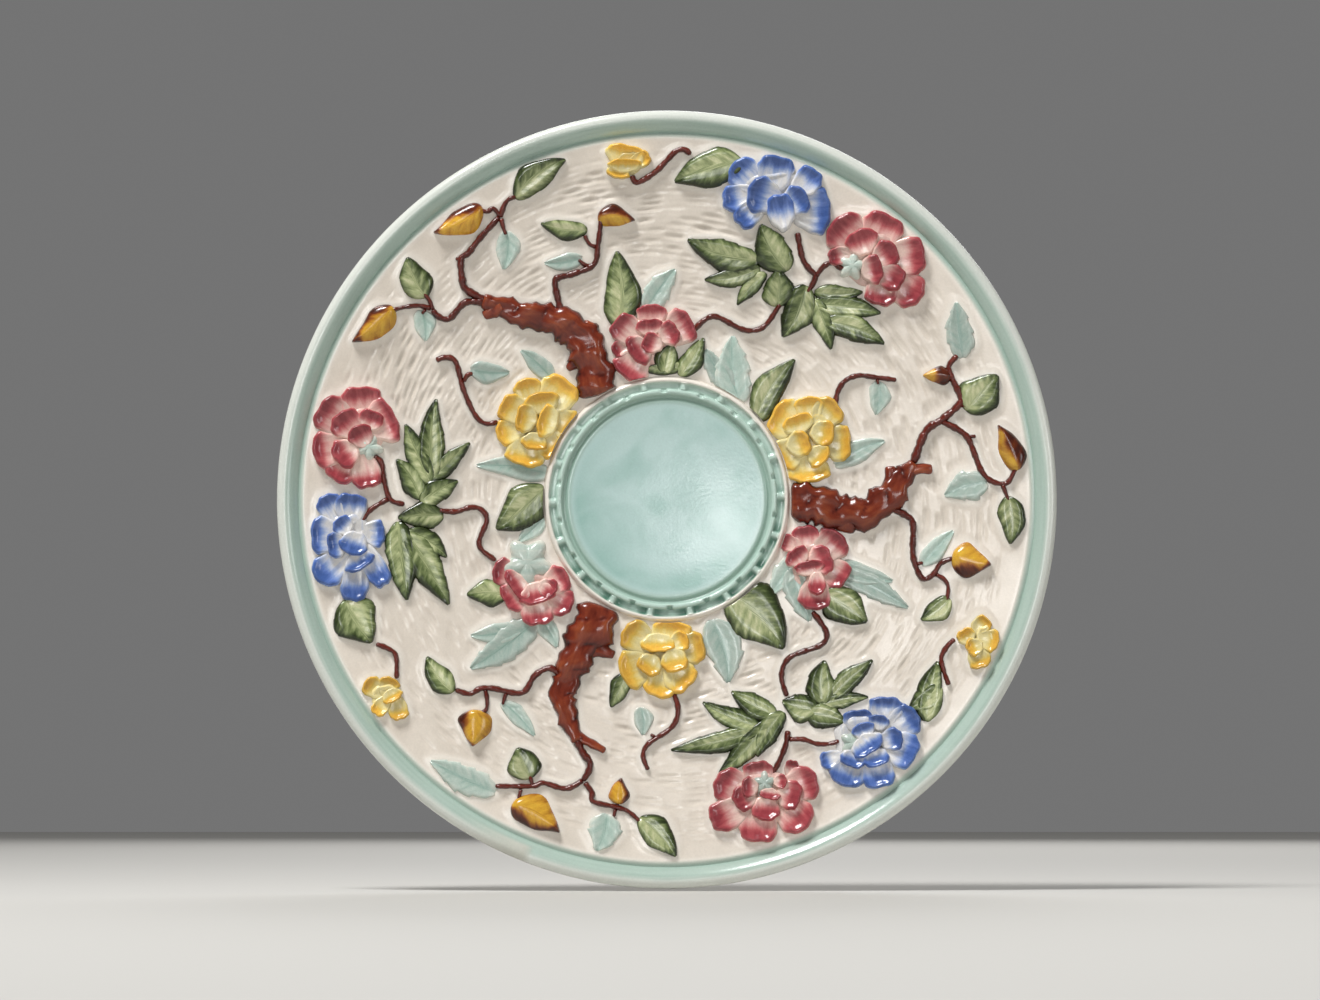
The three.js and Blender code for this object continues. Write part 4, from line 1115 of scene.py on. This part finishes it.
YELLOW_FLOWERS = [
    (
        [(-64.5, 51, 105, 5, 6), (-50, 50, 55, 6.5, 8.5), (-72, 42, 150, 5.5, 6.5),
         (-74, 31, 195, 5, 5.8), (-66, 20.5, 255, 5, 8.5), (-53.5, 25, 310, 5, 6.5),
         (-47.5, 35, 330, 5, 7)],
        [(-58, 45, 100, 4.5, 7.5), (-65.5, 37.5, 170, 4.5, 6.5), (-61.5, 26.5, 260, 3.6, 5.8),
         (-55.5, 36, 165, 4.2, 7.5)],
    ),
    (
        [(54, 37.5, 150, 5.5, 9), (66, 43, 95, 4.5, 6.5), (75, 40.5, 40, 5.5, 7), (80.5, 26, 0, 4.8, 8),
         (66, 13, 275, 5.2, 9), (55.5, 20.5, 215, 4.5, 7.5)],
        [(61, 35, 110, 4.2, 6.8), (72.5, 30.5, 350, 5, 5.8), (70.5, 20, 320, 4, 5.5),
         (61.5, 25.5, 20, 5, 5.8)],
    ),
    (
        [(-14.5, -63.5, 145, 6, 7), (2.5, -61.5, 80, 5, 8.5), (12, -69, 10, 5.5, 7),
         (-15.5, -79, 200, 6, 8.5), (-3, -86.5, 255, 5.5, 7), (6.5, -83, 315, 5.5, 7.5)],
        [(-4, -67, 270, 4, 7.5), (6, -66, 20, 4, 4.5), (-8, -77, 235, 4.5, 5.5),
         (3.5, -75, 280, 5.2, 5.8)],
    ),
    (
        [(-19, 160, 80, 4, 8.5), (-11.5, 157.5, 20, 3.8, 3.5), (-22.5, 151.5, 260, 2.8, 5)],
        [(-19.5, 154.5, 90, 2.8, 7.2)],
    ),
    (
        [(-135.5, -87.5, 145, 4.2, 4.5), (-128, -86.5, 70, 3.5, 4.5), (-132, -97, 235, 3.8, 3.5),
         (-123.5, -98.5, 280, 4, 4.2)],
        [(-126.5, -91.5, 300, 2.8, 4.5)],
    ),
    (
        [(145.5, -58.5, 40, 3.5, 4), (149, -66, 345, 3.8, 5), (144, -75, 290, 3.8, 4.8)],
        [(138, -64, 120, 3.5, 4), (141.5, -69, 200, 3.5, 4)],
    ),
]


def petal_figure(petal, lift, root, spread, number):
    """A petal over an egg-shaped plan that is root times as long behind its middle: it is
    hollow inside, rises to a rounded lip on the side it faces and falls away to its root,
    and its border goes down into the field. Its paint is thickest at the lip, thins out
    to nothing where spread of its length is left, and breaks pale on the border."""
    middle_x, middle_z, facing, half_length, half_width = petal
    way_x, way_z = np.cos(np.radians(facing)), np.sin(np.radians(facing))
    turn = np.linspace(0, 2 * np.pi, PETAL_COLUMNS, endpoint=False)[None, :]
    ring = np.linspace(0, 1, PETAL_RINGS + 1)[:, None] ** 0.8
    facing_lip = np.cos(turn)
    notch = 1 - 0.07 * np.exp(-((np.sin(turn / 2) / 0.13) ** 2))
    frill = 1 + 0.035 * np.sin(5 * turn + 1.9 * number) + 0.025 * np.sin(9 * turn + number)
    out = np.minimum(ring, 0.985) * frill * notch * PETAL_OVERLAP
    along = half_length * out * facing_lip * np.where(facing_lip > 0, 1, root)
    across = half_width * out * np.sin(turn) * (1 + 0.12 * facing_lip)
    x = middle_x + way_x * along + way_z * across
    z = middle_z + way_z * along - way_x * across
    lip = np.exp(-(((ring - 0.78) / 0.2) ** 2)) * (0.5 + 0.5 * facing_lip)
    slope = 0.5 * ring * facing_lip
    drop = np.sqrt(np.clip(1 - (np.clip(ring - 0.78, 0, 1) / 0.22) ** 2, 0, 1))
    cupped = lift + LIP_LIFT * lip + slope - HOLLOW_DEPTH * (1 - ring**2)
    height = -ROOT_DEPTH + (cupped + ROOT_DEPTH) * (0.2 + 0.8 * drop)
    height[-1] = -ROOT_DEPTH
    towards_lip = 0.5 + 0.5 * ring * facing_lip
    paint = 0.95 * ease(spread, spread + 0.45, towards_lip) - 0.5 * ease(0.86, 0.98, ring)
    grids = (on_field(x, z, height), np.clip(paint, 0, 1), along, across + 0 * along)
    points, *others = [one_middle(grid) for grid in grids]
    return points, disc_faces(PETAL_RINGS, PETAL_COLUMNS), *others


def flower_figures(flowers, outer_spread, inner_spread):
    """All petals of some flowers, on a low cushion each. Each petal lies a little higher than the one before
    it in its tier, and in the outer tier the steps start again after every third petal."""
    figures = []
    for outer, inner in flowers:
        spots = np.array(outer)
        low, high = spots[:, :2].min(axis=0), spots[:, :2].max(axis=0)
        half = (high - low) / 2 * CUSHION_SHARE + CUSHION_MARGIN
        small = min(1, spots[:, 4].max() / FULL_PETAL_WIDTH)
        cushion = (*((low + high) / 2), 90, half[1], half[0])
        figures.append(petal_figure(cushion, CUSHION_LIFT * small, 1, CUSHION_SPREAD, 0))
        outer_tier = (outer, OUTER_LIFT, OUTER_ROOT, 3, outer_spread)
        inner_tier = (inner, INNER_LIFT, INNER_ROOT, 9, inner_spread)
        for petals, lift, root, steps, spread in (outer_tier, inner_tier):
            for number, petal in enumerate(petals):
                raised = lift * small + LIFT_STEP * (number % steps)
                figures.append(petal_figure(petal, raised, root, spread, len(figures)))
    return figures


cobalt = painted_glaze(
    "cobalt_underglaze",
    [(0, "#D6D4D2"), (0.25, "#B4BCD0"), (0.5, "#8297C2"), (0.75, "#5C76B4"), (1, "#3F5A96")],
    brush=0.22,
    stretch=4.0,
)
rose = painted_glaze(
    "rose_pink_underglaze",
    [(0, "#E2C4B8"), (0.25, "#D3A29B"), (0.5, "#C07876"), (0.75, "#AA5054"), (1, "#8C363D")],
    brush=0.2,
    stretch=4.0,
)
gold = painted_glaze(
    "golden_yellow_underglaze",
    [(0, "#DFD29A"), (0.25, "#DCC579"), (0.5, "#DAB654"), (0.75, "#E2B54E"), (1, "#DAA63E")],
    brush=0.2,
    stretch=4.0,
)
blue_petals = flower_figures(BLUE_FLOWERS, outer_spread=0.29, inner_spread=0.23)
blue_flowers = join_figures("blue_flowers", blue_petals, cobalt)
pink_petals = flower_figures(PINK_FLOWERS, outer_spread=0.3, inner_spread=0.19)
pink_flowers = join_figures("pink_flowers", pink_petals, rose)
yellow_petals = flower_figures(YELLOW_FLOWERS, outer_spread=0.32, inner_spread=0.28)
yellow_flowers = join_figures("yellow_flowers", yellow_petals, gold)

# The field: the cream ground between ring and rim, part of the dish, scraped with a tool in short strokes
# along the round. Round every figure a smooth, paler edge is left, where the tool was kept away from it.
FIELD_COLUMNS = 580
FIELD_ROW_MM = 0.74
FIELD_EDGE_RADII = (56.8, 171)
FIELD_THICKNESS = 2.5
SCRAPE_PITCH = 2.7
SCRAPE_DEPTH = 1.1
SCRAPE_LENGTH = 11
HALO_CELL_MM = 1
HALO_REACH_MM = 190
HALO_PASSES = 4
HALO_LIFT = 0.45
HALO_LIFT_FADE = (168, 161)
HALO_FULL = 0.4
HALO_PAINT = 0.8
CALM_INNER_FADE = (58, 63)
CALM_OUTER_FADE = (164, 150)
DIP_RADII = (168.5, 170)
DIP_DEPTH = 0.6
TOP_PICTURE = 0.495
HIDDEN_PICTURE = (0.3, 0.05)


def scraping(radius, angle):
    """Depth of the scraped strokes, from 0 to 1: rows along the round that sway a little, each
    broken into strokes. A stroke is a parabola across and a sine arch along, with a depth of
    its own, and the hand presses more firmly in some parts of the field than in others."""
    sway = 0.5 * np.sin(5 * angle + radius / 17) + 0.3 * np.sin(11 * angle - radius / 9)
    place = radius / SCRAPE_PITCH + sway
    row = np.floor(place)
    across = place - row
    length = SCRAPE_LENGTH * (0.7 + 0.6 * scatter(row, 3))
    count = np.maximum(np.round(2 * np.pi * row * SCRAPE_PITCH / length), 1)
    way = angle / (2 * np.pi) * count + scatter(row, 7)
    stroke = np.floor(way)
    along = way - stroke
    depth = np.clip(1.3 * scatter(row, stroke % count) - 0.25, 0.05, 1)
    firmness = 0.72 + 0.28 * np.sin(3 * angle + radius / 23 + 2 * np.sin(2 * angle - radius / 31))
    return firmness * depth * 4 * across * (1 - across) * np.sin(np.pi * along) ** 0.6


def near_figures(pieces, x, z):
    """How near each place of the face is to a figure, from 0 to 1: cells that hold points of the
    figures are marked on a square net, the net is blurred, and it is read between its cells."""
    cells = int(2 * HALO_REACH_MM / HALO_CELL_MM)
    net = np.zeros((cells, cells))
    for piece in pieces:
        flat = np.empty(3 * len(piece.data.vertices))
        piece.data.vertices.foreach_get("co", flat)
        spots = flat.reshape(-1, 3) / MM
        columns = ((spots[:, 0] + HALO_REACH_MM) / HALO_CELL_MM).astype(int)
        rows = ((spots[:, 2] - CENTRE_Z + HALO_REACH_MM) / HALO_CELL_MM).astype(int)
        net[columns, rows] = 1
    for _ in range(HALO_PASSES):
        for axis in (0, 1):
            net = (np.roll(net, 1, axis) + net + np.roll(net, -1, axis)) / 3
    column = (x + HALO_REACH_MM) / HALO_CELL_MM - 0.5
    row = (z + HALO_REACH_MM) / HALO_CELL_MM - 0.5
    left, low = np.floor(column).astype(int), np.floor(row).astype(int)
    right_share, up_share = column - left, row - low
    lower = net[left, low] * (1 - right_share) + net[left + 1, low] * right_share
    upper = net[left, low + 1] * (1 - right_share) + net[left + 1, low + 1] * right_share
    return lower * (1 - up_share) + upper * up_share


field_radius = np.arange(*FIELD_EDGE_RADII, FIELD_ROW_MM)[:, None]
field_angle = np.linspace(0, 2 * np.pi, FIELD_COLUMNS, endpoint=False)[None, :]
field_x, field_z = field_radius * np.sin(field_angle), field_radius * np.cos(field_angle)
figure_pieces = [
    trunks, branches, green_leaves, blue_leaves, buds, blue_flowers, pink_flowers, yellow_flowers,
]
halo = ease(0, HALO_FULL, near_figures(figure_pieces, field_x, field_z))
calm = ease(*CALM_INNER_FADE, field_radius) * ease(*CALM_OUTER_FADE, field_radius) * (1 - halo)
scraped = scraping(field_radius, field_angle) * calm
edge_lift = HALO_LIFT * halo * ease(*HALO_LIFT_FADE, field_radius)
dip = DIP_DEPTH * ease(*DIP_RADII, field_radius)
field_top = field_height(field_radius) + edge_lift - SCRAPE_DEPTH * scraped - dip
field_under = field_height(field_radius[[-1, 0]]) - FIELD_THICKNESS
field_points = np.concatenate(
    [
        np.stack([field_x, field_top, field_z], axis=-1),
        np.stack([field_x[[-1, 0]], field_under + 0 * field_angle, field_z[[-1, 0]]], axis=-1),
    ]
)
under = np.zeros((2, FIELD_COLUMNS))
field_share = share_at(field_radius) + 0 * field_angle
field_values = {
    "section": np.concatenate([field_share, field_share[[-1, 0]]]).ravel(),
    "scrape": np.concatenate([scraped, under]).ravel(),
    "halo": np.concatenate([HALO_PAINT * halo, under]).ravel(),
}
top_reach = TOP_PICTURE * field_radius[:, 0] / field_radius[-1, 0]
hidden_reach = np.linspace(*HIDDEN_PICTURE, 4) * FIELD_EDGE_RADII[0] / FIELD_EDGE_RADII[1]
field_corners = [
    band_corners(0.5, top_reach[:-1], top_reach[1:], field_angle),
    band_corners(0.5, hidden_reach[:-1], hidden_reach[1:], field_angle),
]
new_piece(
    "scraped_field",
    field_points.reshape(-1, 3),
    ring_faces(len(field_points), FIELD_COLUMNS),
    field_values,
    dish_glaze,
    np.concatenate(field_corners).reshape(-1, 2),
)

# The floor, the light and the camera: a pale floor just below the plaque's edge, soft
# lamps above and to both sides, and a long lens a little below the plaque's middle.
FLOOR_COLOUR = "#C4C2BD"
FLOOR_ROUGHNESS = 0.8
FLOOR_HALF = 4
FLOOR_GAP_MM = 1
WORLD_COLOUR = "#C8C8C8"
WORLD_STRENGTH = 0.3
# Each lamp has its place from the plaque's middle and its width in metres, and its power in watts.
LAMPS = [
    ((-0.72, -0.85, 1.9), 0.75, 54),
    ((1.5, -1.5, 0.25), 0.7, 5),
    ((-0.24, -2.3, 0.27), 0.42, 3.8),
    ((0.3, 2.2, 1.2), 1.6, 20),
]
CAMERA_DISTANCE = 2
CAMERA_BELOW = np.radians(4)
RIM_RADIUS_PX = 389.8
CENTRE_PX = (666.85, 497.43)
IMAGE_PX = (1320, 1000)
SENSOR_WIDTH = 36
MIDDLE_DEPTH_MM = 27

floor_z = plaque_low[2] - FLOOR_GAP_MM * MM
floor_mesh = bpy.data.meshes.new("floor")
floor_signs = [(-1, -1), (1, -1), (1, 1), (-1, 1)]
floor_corners = [(x * FLOOR_HALF, y * FLOOR_HALF, floor_z) for x, y in floor_signs]
floor_mesh.from_pydata(floor_corners, [], [(0, 1, 2, 3)])
# Matt floor paint: an even pale grey that takes the plaque's soft shadow and doesn't shine.
floor_paint, tree = new_material("matt_floor_paint")
matt = {"Base Color": to_linear(FLOOR_COLOUR), "Roughness": FLOOR_ROUGHNESS}
shader = add_node(tree, "BsdfPrincipled", matt)
add_node(tree, "OutputMaterial", {"Surface": shader})
floor_mesh.materials.append(floor_paint)
floor = bpy.data.objects.new("floor", floor_mesh)
bpy.context.collection.objects.link(floor)

world = bpy.data.worlds.new("studio")
world.use_nodes = True
world.node_tree.nodes["Background"].inputs["Color"].default_value = to_linear(WORLD_COLOUR)
world.node_tree.nodes["Background"].inputs["Strength"].default_value = WORLD_STRENGTH
bpy.context.scene.world = world

plaque_middle = Vector((0, -MIDDLE_DEPTH_MM * MM, CENTRE_Z * MM))
for number, (place, size, power) in enumerate(LAMPS):
    light = bpy.data.lights.new(f"lamp_{number}", "AREA")
    light.shape = "DISK"
    light.size = size
    light.energy = power
    lamp = bpy.data.objects.new(f"lamp_{number}", light)
    lamp.location = Vector(place) + plaque_middle
    lamp.rotation_euler = (plaque_middle - lamp.location).to_track_quat("-Z", "Y").to_euler()
    bpy.context.collection.objects.link(lamp)

plaque_radius = (plaque_high[0] - plaque_low[0]) / 2
metres_per_px = plaque_radius / RIM_RADIUS_PX
aim_x = (IMAGE_PX[0] / 2 - CENTRE_PX[0]) * metres_per_px
aim_z = (CENTRE_PX[1] - IMAGE_PX[1] / 2) * metres_per_px
lens = bpy.data.cameras.new("camera")
lens.sensor_width = SENSOR_WIDTH
lens.lens = SENSOR_WIDTH * CAMERA_DISTANCE / (IMAGE_PX[0] * metres_per_px)
camera = bpy.data.objects.new("camera", lens)
away = Vector((0, -np.cos(CAMERA_BELOW), -np.sin(CAMERA_BELOW))) * CAMERA_DISTANCE
target = plaque_middle + Vector((aim_x, 0, aim_z))
camera.location = target + away
camera.rotation_euler = (target - camera.location).to_track_quat("-Z", "Y").to_euler()
bpy.context.collection.objects.link(camera)
bpy.context.scene.camera = camera
bpy.context.scene.view_settings.view_transform = "Standard"
